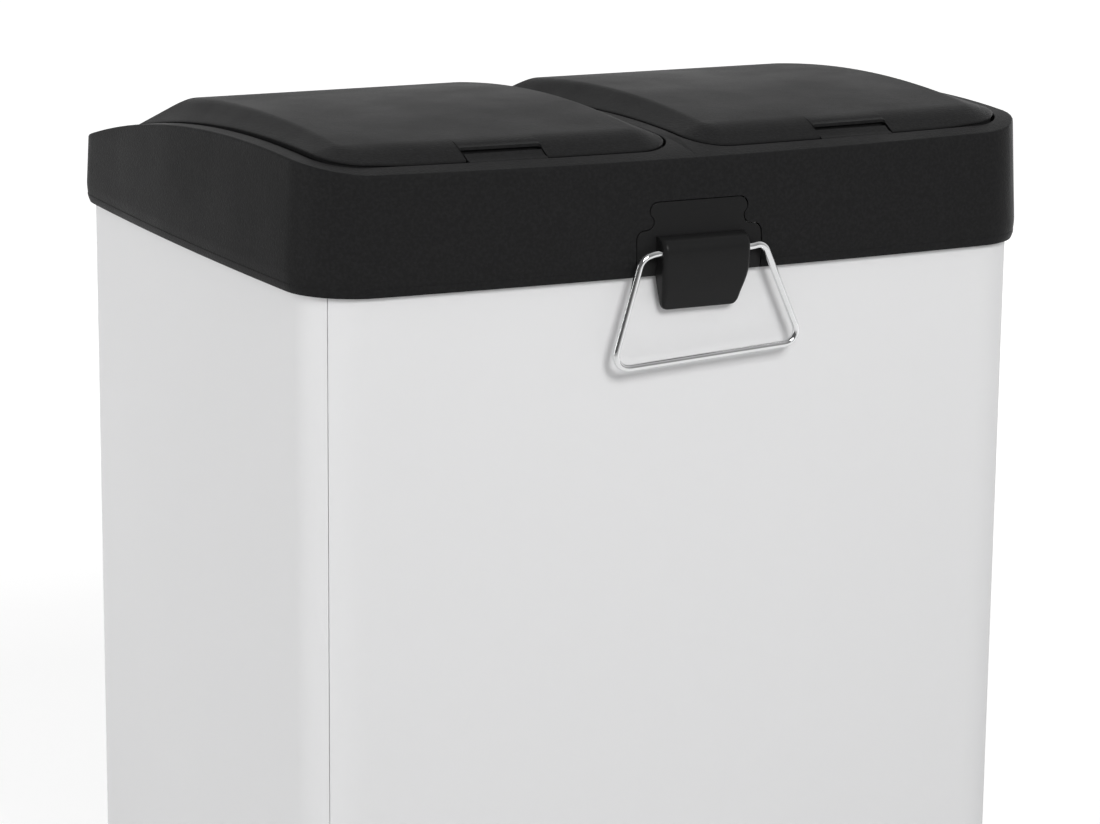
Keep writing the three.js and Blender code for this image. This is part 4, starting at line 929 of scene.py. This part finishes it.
def add_flap_ribs(bm):
    """Cross ribs and a long rib under the flap's top, following its arch."""
    half, depth = 0.0008, 6.1

    def rib(start, end, steps, shift):
        low, high = [], []
        for x, y in run(start, end, evenly(steps) + [1.0]):
            top = flap_top(bowed(x, y)[1]) - FLAP_WALL + 0.1
            high.append(spot(*bowed(x, y), top))
            low.append(spot(*bowed(x, y), top - depth))
        side = low + high[::-1]
        skin(bm, [[p - shift for p in side], [p + shift for p in side]], capped=True)

    for y in (FRONT + 110.8, FRONT + 220.8):
        rib((FLAP_IN + CHAMFER, y), (FLAP_OUT - CHAMFER, y), 6, Vector((0, half, 0)))
    rib((FLAP_MIDDLE, FLAP_FRONT + CHAMFER + 24), (FLAP_MIDDLE, FLAP_BACK - RAMP - 6), 10,
        Vector((half, 0, 0)))


def make_flaps(sizes):
    """Both flaps; the left one is the right one flipped."""
    for word, left in (("left", True), ("right", False)):
        bm = bmesh.new()
        skin(bm, flap_rings(sizes))
        extra = bmesh.new()
        add_knuckles(extra)
        add_flap_ribs(extra)
        if left:
            flipped(bm)
            flipped(extra)
        body = f"flap_{word}"
        piece = finished(bm, f"flap_{word}_shell", FINISH["lid"], body, sharp=60)
        finished(extra, f"flap_{word}_knuckles", FINISH["lid"], body)
        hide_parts(f"flap_{word}")


def ramp_face(y):
    """Height of the flap's front face at the middle of the flap."""
    front = bowed(FLAP_MIDDLE, FLAP_FRONT)[1]
    slope = (flap_top(front + CHAMFER) - frame_top(front)) / CHAMFER
    return frame_top(front) + slope * (y - front)


def make_notch_ramps():
    """The raised ramp of the frame that fills each finger notch but for a slot."""
    front = bowed(FLAP_MIDDLE, FLAP_FRONT)[1]
    start, end = front - GAP - 0.8, front + NOTCH_DEPTH - 2.5
    half = NOTCH / 2 - 0.55
    middle = (start + end) / 2
    profile = [
        (start, frame_top(start) - 4), (end, frame_top(start) - 6), (end, ramp_face(end) - 1.3),
        (end - 0.7, ramp_face(end) - 0.85), (middle, ramp_face(middle) - 0.6),
        (front - GAP + 0.4, frame_top(front) + 0.05), (start, frame_top(start) - 0.1),
    ]
    for word, side in (("left", -1), ("right", 1)):
        bm = bmesh.new()
        rings = []
        for share in (-1.0, -0.985, 0.985, 1.0):
            drop = 0.5 if abs(share) == 1.0 else 0.0
            x = side * FLAP_MIDDLE + half * share
            rings.append([spot(x, y, z - (drop if i > 1 else 0)) for i, (y, z) in enumerate(profile)])
        skin(bm, rings, capped=True)
        finished(bm, f"notch_ramp_{word}", FINISH["lid"], "frame", sharp=50)


# ------------------------------------------------------------------ handle bracket and bail


# (half width, height) down the barrel's side and round the apron's lower corner
BARREL_HALF, APRON_TIP = 31.0, 22.5
BARREL_SIDE = bezier((31, 6), (31, -1.5), (29, -8.5), (27.5, -17.5), 40)
BARREL_SIDE += bezier((27.5, -17.5), (26.6, -20.2), (25.2, -21.5), (22.5, -21.5), 12)


def barrel_width(z):
    """Half width of the barrel and apron at a height."""
    if z > 6:
        return BARREL_HALF
    for (w0, z0), (w1, z1) in zip(BARREL_SIDE, BARREL_SIDE[1:]):
        if z1 <= z <= z0:
            return w0 + (w1 - w0) * (z0 - z) / max(z0 - z1, 1e-9)
    return APRON_TIP


def barrel_ring(z, reach, radius, back):
    """A level section of the barrel: flat at the back, rounded at its front corners."""
    half = barrel_width(z)
    front = FACE - reach
    radius = min(radius, (back - front) * 0.45, half * 0.4)
    points = [(half, back)]
    points += run((half, back), (half, front + radius), evenly(3))[1:]
    points += arc(half - radius, front + radius, radius, 0, -90, 6)
    points += run((half - radius, front), (-half + radius, front), evenly(10))
    points += arc(-half + radius, front + radius, radius, -90, -180, 6)
    points += run((-half, front + radius), (-half, back), evenly(3))
    points.append((-half, back))
    return [spot(x, y, z) for x, y in points]


def make_barrel():
    """Closed barrel with a rounded top whose front sweeps back to the tip of the apron."""
    bm = bmesh.new()
    upper = bezier((1.2, 25.5), (7.6, 25.5), (11.5, 22.0), (11.5, 15.5), 10)
    lower = bezier((11.5, 15.5), (11.5, 1.5), (8.0, -7.5), (1.6, -20.2), 18)[1:]
    sections = [(reach, z, 3.0) for reach, z in upper + lower]
    sections += [(1.2, -21.0, 1.6), (0.8, -21.35, 1.2), (0.2, -21.5, 0.8)]
    rings = [barrel_ring(z, reach, radius, FACE + 1.6) for reach, z, radius in sections]
    skin(bm, rings, capped=True)
    finished(bm, "handle_barrel", FINISH["handle"], "frame", sharp=50)


def make_plate():
    """Keyed plate, flush with the curved front wall, its edges eased."""
    bm = bmesh.new()
    shape = key_outline(0)
    centre = (0.0, 25.0)

    def ring(scale, back):
        points = []
        for x, z in shape:
            px, pz = centre[0] + (x - centre[0]) * scale, centre[1] + (z - centre[1]) * scale
            points.append(spot(px, wall_face(px, pz) + back, pz))
        return points

    edge = [ring(1, WALL), ring(1, 0.5), ring(0.9965, 0.14), ring(0.989, 0.0)]
    skin(bm, edge + [ring(scale, 0.0) for scale in (0.8, 0.6, 0.4, 0.2, 0.02)], capped=True)
    # the flange behind the frame's wall, and the bridge that carries it
    box(bm, (-48.5, FACE + 5.6, 34.5), (48.5, FACE + 7.7, 58.5), 0.5)
    box(bm, (-31, FACE + 3.4, 34.8), (31, FACE + 6.4, 38.3), 0.3)
    return finished(bm, "handle_plate", FINISH["handle"], "frame", sharp=50)


def make_handle_bracket():
    """Plate and barrel, which together stand for the solid bracket."""
    plate = make_plate()
    make_barrel()
    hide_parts("handle_bracket")


def bail_path():
    """Middle line of the bail's wire, in millimetres from its pivot."""
    skew = math.radians(3)
    hold = 0.55

    def turn(x, z):
        return Vector((x * math.cos(skew) - z * math.sin(skew), 0,
                       x * math.sin(skew) + z * math.cos(skew)))

    # each corner of the wire with the length that its bend takes of both sides
    ends = (Vector((-23, 0, 0)), Vector((23, 0, 0)))
    bends = [(Vector((-35, 0, 0)), 2.5), (turn(-44.6, -0.2), 5.2), (turn(-68.7, -68.2), 13.5),
             (turn(68.7, -68.2), 13.5), (turn(42.6, -0.4), 5.2), (Vector((35, 0, 0)), 2.5)]
    corners = [ends[0]] + [corner for corner, _ in bends] + [ends[1]]
    points = [ends[0]]
    for i, (corner, bend) in enumerate(bends, 1):
        before = corner.lerp(corners[i - 1], bend / (corner - corners[i - 1]).length)
        after = corner.lerp(corners[i + 1], bend / (corner - corners[i + 1]).length)
        first, second = before.lerp(corner, hold), after.lerp(corner, hold)
        for step in range(11):
            t = step / 10
            points.append(before * (1 - t) ** 3 + first * 3 * t * (1 - t) ** 2
                          + second * 3 * t * t * (1 - t) + after * t ** 3)
    points.append(ends[1])
    return points


def make_bail(sizes):
    """Round wire swept along the bail's path."""
    bm = bmesh.new()
    path = bail_path()
    radius = sizes.wire_diameter / MM / 2
    out, sides = Vector((0, 1, 0)), 20
    rings = []
    for i, point in enumerate(path):
        along = (path[min(i + 1, len(path) - 1)] - path[max(i - 1, 0)]).normalized()
        side = along.cross(out).normalized()
        ring = []
        for k in range(sides):
            angle = 2 * math.pi * k / sides
            p = point + out * (radius * math.cos(angle)) + side * (radius * math.sin(angle))
            ring.append(spot(p.x, FACE - PIVOT_REACH + p.y, PIVOT_HEIGHT + p.z))
        rings.append(ring)
    skin(bm, rings, capped=True)
    piece = finished(bm, "bail_wire", FINISH["wire"], "bail", sharp=60)
    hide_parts("bail_handle")


# ------------------------------------------------------------------ steel body

SEAM = 0.28
BODY_LOW = 14.3 - RISE
BODY_HIGH = 30.0


def sheet_piece(outer, inner, name):
    """A bent sheet between an outer and an inner run of plan points."""
    bm = bmesh.new()
    levels = (BODY_LOW, BODY_LOW + 60, BODY_LOW + 300, BODY_HIGH)
    skin(bm, [[spot(x, y, z) for x, y in outer + inner[::-1]] for z in levels])
    for height in (BODY_LOW, BODY_HIGH):
        level = (height + RISE) * MM
        ring = [v for v in bm.verts if abs(v.co.z - level) < 1e-6]
        order = {tuple(round(c, 7) for c in v.co): v for v in ring}
        find = lambda p: order[tuple(round(c, 7) for c in spot(*p, height))]
        for i in range(len(outer) - 1):
            corners = (outer[i], outer[i + 1], inner[i + 1], inner[i])
            bm.faces.new([find(corner) for corner in corners])
    return finished(bm, name, FINISH["paint"], "body", sharp=50)


def plan_run(first, last, inset):
    """Points of the whole plan from one index to another, with the bow."""
    plan = whole_plan(inset)
    return [bowed(*plan[i % len(plan)]) for i in range(first, last + 1)]


def nudged(points, amount):
    """Moves both ends of a run inwards along it."""
    for end, near in ((0, 1), (-1, -2)):
        a, b = Vector(points[end]), Vector(points[near])
        points[end] = tuple(a + (b - a).normalized() * amount)
    return points


def make_steel_body():
    """Front sheet round both front corners, and the rear sheet that laps behind its edges."""
    count = len(whole_plan(0))
    seam = PLAN_CORNER + PLAN_SIDE
    outer = nudged(plan_run(0, seam, BODY_STEP), SEAM)
    inner = nudged(plan_run(0, seam, BODY_STEP + SHEET), SEAM)
    front = sheet_piece(outer, inner, "front_sheet")
    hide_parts("front_panel")

    fit, lap = 0.3, 4
    behind = BODY_STEP + SHEET + fit
    outer = plan_run(seam - lap, seam - 1, behind) + nudged(plan_run(seam, count, behind), SEAM)[:1]
    outer += nudged(plan_run(seam, count, BODY_STEP), SEAM)
    outer += nudged(plan_run(seam, count, behind), SEAM)[-1:]
    outer += plan_run(count + 1, count + lap, behind)
    inner = plan_run(seam - lap, seam + 1, behind + SHEET)
    inner += plan_run(seam + 1, count - 1, BODY_STEP + SHEET)
    inner += plan_run(count - 1, count + lap, behind + SHEET)
    wrap = sheet_piece(outer, inner, "rear_sheet")
    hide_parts("rear_wrap")


# ------------------------------------------------------------------ carried CAD pieces


def dress(names, finish):
    """Gives carried CAD nodes their finish."""
    for name in names:
        piece = frame["nodes"][name]
        piece.data.materials.clear()
        piece.data.materials.append(FINISH[finish])


def turned_pads(start, edge):
    """Round pads in the boxes of the CAD pads whose names start so, rim rounded and face dished."""
    for name in [n for n in frame["nodes"] if n.startswith(start)]:
        low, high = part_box(name)
        radius = (high[0] - low[0]) / 2
        centre = Vector(((low[0] + high[0]) / 2, (low[1] + high[1]) / 2, 0))
        dish = low[2] + edge * 0.3
        profile = [(0.0, dish), (radius * 0.55, dish), (radius * 0.68, low[2])]
        for angle in (0, 22.5, 45, 67.5, 90):
            turn = math.radians(angle)
            profile.append((radius - edge + edge * math.sin(turn), low[2] + edge - edge * math.cos(turn)))
        profile += [(radius, high[2] - edge * 0.3), (radius - edge * 0.3, high[2]), (0.0, high[2])]
        bm = bmesh.new()
        turned(bm, [centre + Vector((r, 0, z)) for r, z in profile], centre, (0, 0, 1), 48)
        piece = finished(bm, name + "_pad", FINISH["rubber"], "body", sharp=50)
        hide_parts(name)


def make_base():
    """Dresses the tray and turns the rubber feet."""
    dress(["base_tray"], "lid")
    turned_pads("foot_", 0.0016)


def make_rail():
    """Dresses the rail and turns the pads that the lid frame rests on."""
    dress(["top_rail"], "lid")
    turned_pads("rail_pad", 0.0008)


BUCKET_CLEARANCE = 1.0
BUCKET_FLANGE = 7.0
BUCKET_WALL = 2.0
BUCKET_SEAT = 33.1
BUCKET_HEIGHT = 500.0
BUCKET_TAPER = 14.0
BUCKET_FOOT = 10
OPENING_IN, OPENING_OUT, OPENING_REACH, OPENING_RADIUS = 9.0, 236.0, 191.0, 30.0


def bucket_ring(inset, height):
    """A rounded level outline of the right bucket."""
    radius = max(OPENING_RADIUS - inset, 3.0)
    points = outline(OPENING_IN + inset, OPENING_OUT - inset,
                     -OPENING_REACH + inset, OPENING_REACH - inset, (radius,) * 4)
    return [spot(x, y, height) for x, y in points]


def bucket_profile():
    """(inset, height) up the inside of a bucket, over its flange and down its outside."""
    rim = BUCKET_SEAT + 3.0
    bottom = rim - BUCKET_HEIGHT
    side = [(BUCKET_CLEARANCE + BUCKET_TAPER * share, BUCKET_SEAT + (bottom - BUCKET_SEAT) * share)
            for share in (0.0, 0.12, 0.5, 0.9)]
    for angle in (0, 30, 60, 90):
        turn = math.radians(angle)
        side.append((BUCKET_CLEARANCE + BUCKET_TAPER + BUCKET_FOOT * (1 - math.cos(turn)),
                     bottom + BUCKET_FOOT - BUCKET_FOOT * math.sin(turn)))
    inside = [(i + BUCKET_WALL, z + (BUCKET_WALL if z < bottom + 12 else 0)) for i, z in side]
    flange = [
        (BUCKET_CLEARANCE + BUCKET_WALL + 0.6, BUCKET_SEAT + 2.4),
        (BUCKET_CLEARANCE + BUCKET_WALL - 0.6, rim), (-BUCKET_FLANGE + 1.4, rim),
        (-BUCKET_FLANGE + 0.3, BUCKET_SEAT + 2.4), (-BUCKET_FLANGE, BUCKET_SEAT + 1.2),
        (-BUCKET_FLANGE + 0.2, BUCKET_SEAT), (BUCKET_CLEARANCE - 0.1, BUCKET_SEAT),
    ]
    return inside[::-1] + flange + side


def make_buckets():
    """Tapered buckets with a rolled flange and a rounded foot."""
    for word, left in (("left", True), ("right", False)):
        bm = bmesh.new()
        skin(bm, [bucket_ring(inset, height) for inset, height in bucket_profile()], capped=True)
        if left:
            flipped(bm)
        piece = finished(bm, f"bucket_{word}_shell", FINISH["bucket"], "body",
                         sharp=40)
        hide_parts(f"bucket_{word}")


ROD_CHAMFER = 0.0004


def rod(name, body):
    """A round bar along X in a CAD bar's box, its ends chamfered."""
    low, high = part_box(name)
    radius = (high[2] - low[2]) / 2
    centre = Vector((0, (low[1] + high[1]) / 2, (low[2] + high[2]) / 2))
    edge = ROD_CHAMFER
    profile = [(low[0], 0.0), (low[0], radius - edge), (low[0] + edge, radius),
               (high[0] - edge, radius), (high[0], radius - edge), (high[0], 0.0)]
    bm = bmesh.new()
    turned(bm, [centre + Vector((x, 0, r)) for x, r in profile], centre, (1, 0, 0), 32)
    piece = finished(bm, name + "_bar", FINISH["zinc"], body, sharp=40)
    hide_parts(name)


def make_hardware():
    """Turned rods and pins; the brackets, rivets and screws keep their CAD shapes."""
    for side in ("left", "right"):
        rod(f"flap_rod_{side}", "frame")
        rod(f"hinge_pin_{side}", "body")
    carried = ("hinge_bracket", "hinge_rivet", "bracket_screw")
    dress([n for n in frame["nodes"] if n.startswith(carried)], "zinc")


# ------------------------------------------------------------------ stage


# name, place, what it points at, its width and height in metres, and its watts
LAMPS = [
    ("overhead", (0.6, 1.6, 2.4), (0, 0, 0.6), (2.0, 1.2), 3),
    ("left", (-2.75, 0.4, 1.1), (0, 0, 0.45), (1.2, 1.6), 27),
    ("right and behind", (2.6, 1.6, 0.9), (0, 0, 0.4), (1.2, 1.4), 13),
    ("front", (-0.1, -2.65, 2.05), (0, 0, 0.5), (0.9, 0.9), 46),
]


def soft_lamp(name, place, aim, size, power):
    """A soft rectangular lamp that points at a place."""
    light = bpy.data.lights.new(name, "AREA")
    light.shape = "RECTANGLE"
    light.size, light.size_y = size
    light.energy = power
    lamp = bpy.data.objects.new(name, light)
    lamp.location = place
    lamp.rotation_euler = (Vector(aim) - Vector(place)).to_track_quat("-Z", "Y").to_euler()
    bpy.context.scene.collection.objects.link(lamp)


def math_node(tree, operation, first, second):
    """A Math node; each value is a number or another node's output."""
    node = tree.nodes.new("ShaderNodeMath")
    node.operation = operation
    for value, socket in ((first, node.inputs[0]), (second, node.inputs[1])):
        if isinstance(value, (int, float)):
            socket.default_value = value
        else:
            tree.links.new(value, socket)
    return node.outputs[0]


BACKDROP = (0.75, 0.66, 0.0)


def toward_backdrop(tree, coordinates):
    """How far a place or direction lies to the right and behind, away from the room's dim side."""
    along = tree.nodes.new("ShaderNodeVectorMath")
    along.operation = "DOT_PRODUCT"
    along.inputs[1].default_value = BACKDROP
    tree.links.new(coordinates, along.inputs[0])
    return along.outputs["Value"]


def make_world(fill, room):
    """Even light; the camera sees white, and mirrors see a room that dims towards the left front."""
    world = bpy.data.worlds.new("studio")
    bpy.context.scene.world = world
    world.use_nodes = True
    tree = world.node_tree
    light = tree.nodes["Background"]
    light.inputs["Color"].default_value = (1, 1, 1, 1)
    path = tree.nodes.new("ShaderNodeLightPath")
    place = tree.nodes.new("ShaderNodeTexCoord")
    aside = toward_backdrop(tree, place.outputs["Generated"])
    mirrored_room = spread(tree, aside, room, 1.0, -0.55, 0.85)
    seen = math_node(tree, "MAXIMUM", path.outputs["Is Camera Ray"], path.outputs["Is Transmission Ray"])
    even = math_node(tree, "SUBTRACT", 1.0, math_node(tree, "MAXIMUM", seen, path.outputs["Is Glossy Ray"]))
    shine = math_node(tree, "MULTIPLY", path.outputs["Is Glossy Ray"], mirrored_room)
    shown = math_node(tree, "MAXIMUM", seen, shine)
    strength = math_node(tree, "ADD", math_node(tree, "MULTIPLY", even, fill), shown)
    tree.links.new(strength, light.inputs["Strength"])


def make_floor(glow, room):
    """Pale floor that keeps the bin's shadow and is white to the camera where it lies open."""
    bm = bmesh.new()
    bmesh.ops.create_grid(bm, x_segments=2, y_segments=2, size=20)
    mesh = bpy.data.meshes.new("floor")
    bm.to_mesh(mesh)
    bm.free()
    floor = bpy.data.objects.new("floor", mesh)
    bpy.context.scene.collection.objects.link(floor)
    material, tree, shader = nodes_of("pale floor")
    shader.inputs["Base Color"].default_value = (0.7, 0.7, 0.7, 1)
    shader.inputs["Roughness"].default_value = 0.9
    shader.inputs["Specular IOR Level"].default_value = 0.0
    shader.inputs["Emission Color"].default_value = (1, 1, 1, 1)
    path = tree.nodes.new("ShaderNodeLightPath")
    place = tree.nodes.new("ShaderNodeTexCoord")
    reach = tree.nodes.new("ShaderNodeVectorMath")
    reach.operation = "LENGTH"
    tree.links.new(place.outputs["Object"], reach.inputs[0])
    near, far, shaded = 0.9, 2.4, 0.68
    lift = spread(tree, reach.outputs["Value"], glow * shaded, glow, near, far)
    aside = toward_backdrop(tree, place.outputs["Object"])
    before = math_node(tree, "MULTIPLY", lift, spread(tree, aside, room, 1.0, -1.6, 0.9))
    seen = math_node(tree, "MAXIMUM", path.outputs["Is Camera Ray"], path.outputs["Is Transmission Ray"])
    shine = math_node(tree, "MULTIPLY", path.outputs["Is Glossy Ray"], before)
    tree.links.new(math_node(tree, "MAXIMUM", math_node(tree, "MULTIPLY", seen, lift), shine),
                   shader.inputs["Emission Strength"])
    mesh.materials.append(material)


def make_camera(view):
    """The photograph's view."""
    data = bpy.data.cameras.new("photo camera")
    camera = bpy.data.objects.new("photo camera", data)
    bpy.context.scene.collection.objects.link(camera)
    data.sensor_width = 36
    data.lens = view.lens
    data.clip_end = 50
    yaw, pitch = view.yaw, view.pitch
    look = Vector((math.sin(yaw) * math.cos(pitch), math.cos(yaw) * math.cos(pitch), -math.sin(pitch)))
    camera.location = view.place
    camera.rotation_mode = "QUATERNION"
    roll = Matrix.Rotation(view.roll, 3, "Z").to_quaternion()
    camera.rotation_quaternion = look.to_track_quat("-Z", "Y") @ roll
    bpy.context.scene.camera = camera


# ------------------------------------------------------------------ the add-on


class BinColours(bpy.types.PropertyGroup):
    """Colours of the bin's finishes."""

    def colour(name, value):
        return FloatVectorProperty(name=name, description=f"Colour of the {name.lower()}", subtype="COLOR",
                                   size=3, min=0, max=1, default=value)

    lid: colour("Lid plastic", (0.0148, 0.0148, 0.0151))
    handle: colour("Handle plastic", (0.0128, 0.0128, 0.013))
    bucket: colour("Bucket plastic", (0.035, 0.036, 0.039))
    paint: colour("Body paint", (0.75, 0.75, 0.755))
    wire: colour("Bail wire", (0.8, 0.805, 0.81))
    zinc: colour("Zinc plating", (0.5, 0.51, 0.52))
    rubber: colour("Feet", (0.012, 0.012, 0.012))


class BinSizes(bpy.types.PropertyGroup):
    """Sizes of the bin's visible details."""

    def length(name, what, value):
        return FloatProperty(name=name, description=what, subtype="DISTANCE", unit="LENGTH",
                             min=0.0, default=value)

    edge_round: length("Frame edge", "Radius of the lid frame's upper edge", 0.0014)
    recess_round: length("Recess edge", "Radius of the edge round each flap's recess", 0.0008)
    ridge_round: length("Flap ridge", "Scale of the soft ridge round each flap's top", 0.001)
    notch_lip: length("Notch lip", "Rise of the lip behind each finger notch", 0.0009)
    wire_diameter: length("Bail wire", "Diameter of the bail's wire", 0.0046)


class BinView(bpy.types.PropertyGroup):
    """Camera and light."""

    place: FloatVectorProperty(name="Place", description="Place of the camera", subtype="XYZ", unit="LENGTH",
                               size=3, default=(-1.0945, -2.1663, 0.98249))
    yaw: FloatProperty(name="Yaw", description="Turn of the view to the right of the front's normal",
                       subtype="ANGLE", default=math.radians(26.914))
    pitch: FloatProperty(name="Pitch", description="Tilt of the view below the horizon", subtype="ANGLE",
                         default=math.radians(13.028))
    roll: FloatProperty(name="Roll", description="Turn of the camera about its view", subtype="ANGLE",
                        default=math.radians(0.5445))
    lens: FloatProperty(name="Lens", description="Focal length", subtype="DISTANCE_CAMERA", default=118.32)
    fill: FloatProperty(name="Fill", description="Strength of the even light", default=0.45)
    room: FloatProperty(name="Room", description="Brightness of the room's dim side in mirrors", default=0.12)
    glow: FloatProperty(name="Glow", description="Light that lifts the open floor to white", default=0.74)


def need_finishes():
    """Stops a piece that is built before the finishes are there."""
    if not FINISH:
        raise RuntimeError("Finishes are made before any piece of the bin")


class BIN_OT_stage(bpy.types.Operator):
    """Camera, light and floor"""

    bl_idname = "bin.stage"
    bl_label = "Stage"

    def execute(self, context):
        view = context.scene.bin_view
        make_camera(view)
        make_world(view.fill, view.room)
        make_floor(view.glow, view.room)
        for lamp in LAMPS:
            soft_lamp(*lamp)
        context.scene.view_settings.view_transform = "Standard"
        return {"FINISHED"}


class BIN_OT_finishes(bpy.types.Operator):
    """Every finish of the bin"""

    bl_idname = "bin.finishes"
    bl_label = "Finishes"

    def execute(self, context):
        make_finishes(context.scene.bin_colours)
        return {"FINISHED"}


class BIN_OT_steel_body(bpy.types.Operator):
    """Front sheet and rear sheet"""

    bl_idname = "bin.steel_body"
    bl_label = "Steel Body"

    def execute(self, context):
        need_finishes()
        make_steel_body()
        return {"FINISHED"}


class BIN_OT_base(bpy.types.Operator):
    """Base tray and its rubber feet"""

    bl_idname = "bin.base"
    bl_label = "Base"

    def execute(self, context):
        need_finishes()
        make_base()
        return {"FINISHED"}


class BIN_OT_rail_and_buckets(bpy.types.Operator):
    """Rail that closes the body, its pads and the two buckets"""

    bl_idname = "bin.rail_and_buckets"
    bl_label = "Rail and Buckets"

    def execute(self, context):
        need_finishes()
        make_rail()
        make_buckets()
        return {"FINISHED"}


class BIN_OT_hinges(bpy.types.Operator):
    """Rear hinge brackets with their rivets and pins, flap rods and bracket screws"""

    bl_idname = "bin.hinges"
    bl_label = "Hinges"

    def execute(self, context):
        need_finishes()
        make_hardware()
        return {"FINISHED"}


class BIN_OT_lid_frame(bpy.types.Operator):
    """Moulded lid frame with its lugs, ribs and notch ramps"""

    bl_idname = "bin.lid_frame"
    bl_label = "Lid Frame"

    def execute(self, context):
        need_finishes()
        make_lid_frame(context.scene.bin_sizes)
        make_notch_ramps()
        return {"FINISHED"}


class BIN_OT_flaps(bpy.types.Operator):
    """Both hinged flaps"""

    bl_idname = "bin.flaps"
    bl_label = "Flaps"

    def execute(self, context):
        need_finishes()
        make_flaps(context.scene.bin_sizes)
        return {"FINISHED"}


class BIN_OT_handle(bpy.types.Operator):
    """Keyed bracket and its wire bail"""

    bl_idname = "bin.handle"
    bl_label = "Handle"

    def execute(self, context):
        need_finishes()
        make_handle_bracket()
        make_bail(context.scene.bin_sizes)
        return {"FINISHED"}


STEPS = [BIN_OT_stage, BIN_OT_finishes, BIN_OT_steel_body, BIN_OT_base, BIN_OT_rail_and_buckets,
         BIN_OT_hinges, BIN_OT_lid_frame, BIN_OT_flaps, BIN_OT_handle]


class BIN_PT_build(bpy.types.Panel):
    """Lists the bin's sizes, colours and build steps."""

    bl_label = "Double Recycling Bin"
    bl_idname = "BIN_PT_build"
    bl_space_type = "VIEW_3D"
    bl_region_type = "UI"
    bl_category = "Bin"

    def draw(self, context):
        for group in (context.scene.bin_sizes, context.scene.bin_colours, context.scene.bin_view):
            for key in group.__annotations__:
                self.layout.prop(group, key)
        for step in STEPS:
            self.layout.operator(step.bl_idname)


CLASSES = [BinColours, BinSizes, BinView, *STEPS, BIN_PT_build]


def register():
    for cls in CLASSES:
        bpy.utils.register_class(cls)
    bpy.types.Scene.bin_colours = PointerProperty(type=BinColours)
    bpy.types.Scene.bin_sizes = PointerProperty(type=BinSizes)
    bpy.types.Scene.bin_view = PointerProperty(type=BinView)


def unregister():
    del bpy.types.Scene.bin_view, bpy.types.Scene.bin_sizes, bpy.types.Scene.bin_colours
    for cls in reversed(CLASSES):
        bpy.utils.unregister_class(cls)


def main():
    register()
    for step in STEPS:
        getattr(bpy.ops.bin, step.bl_idname.split(".")[1])()


if __name__ == "__main__":
    main()
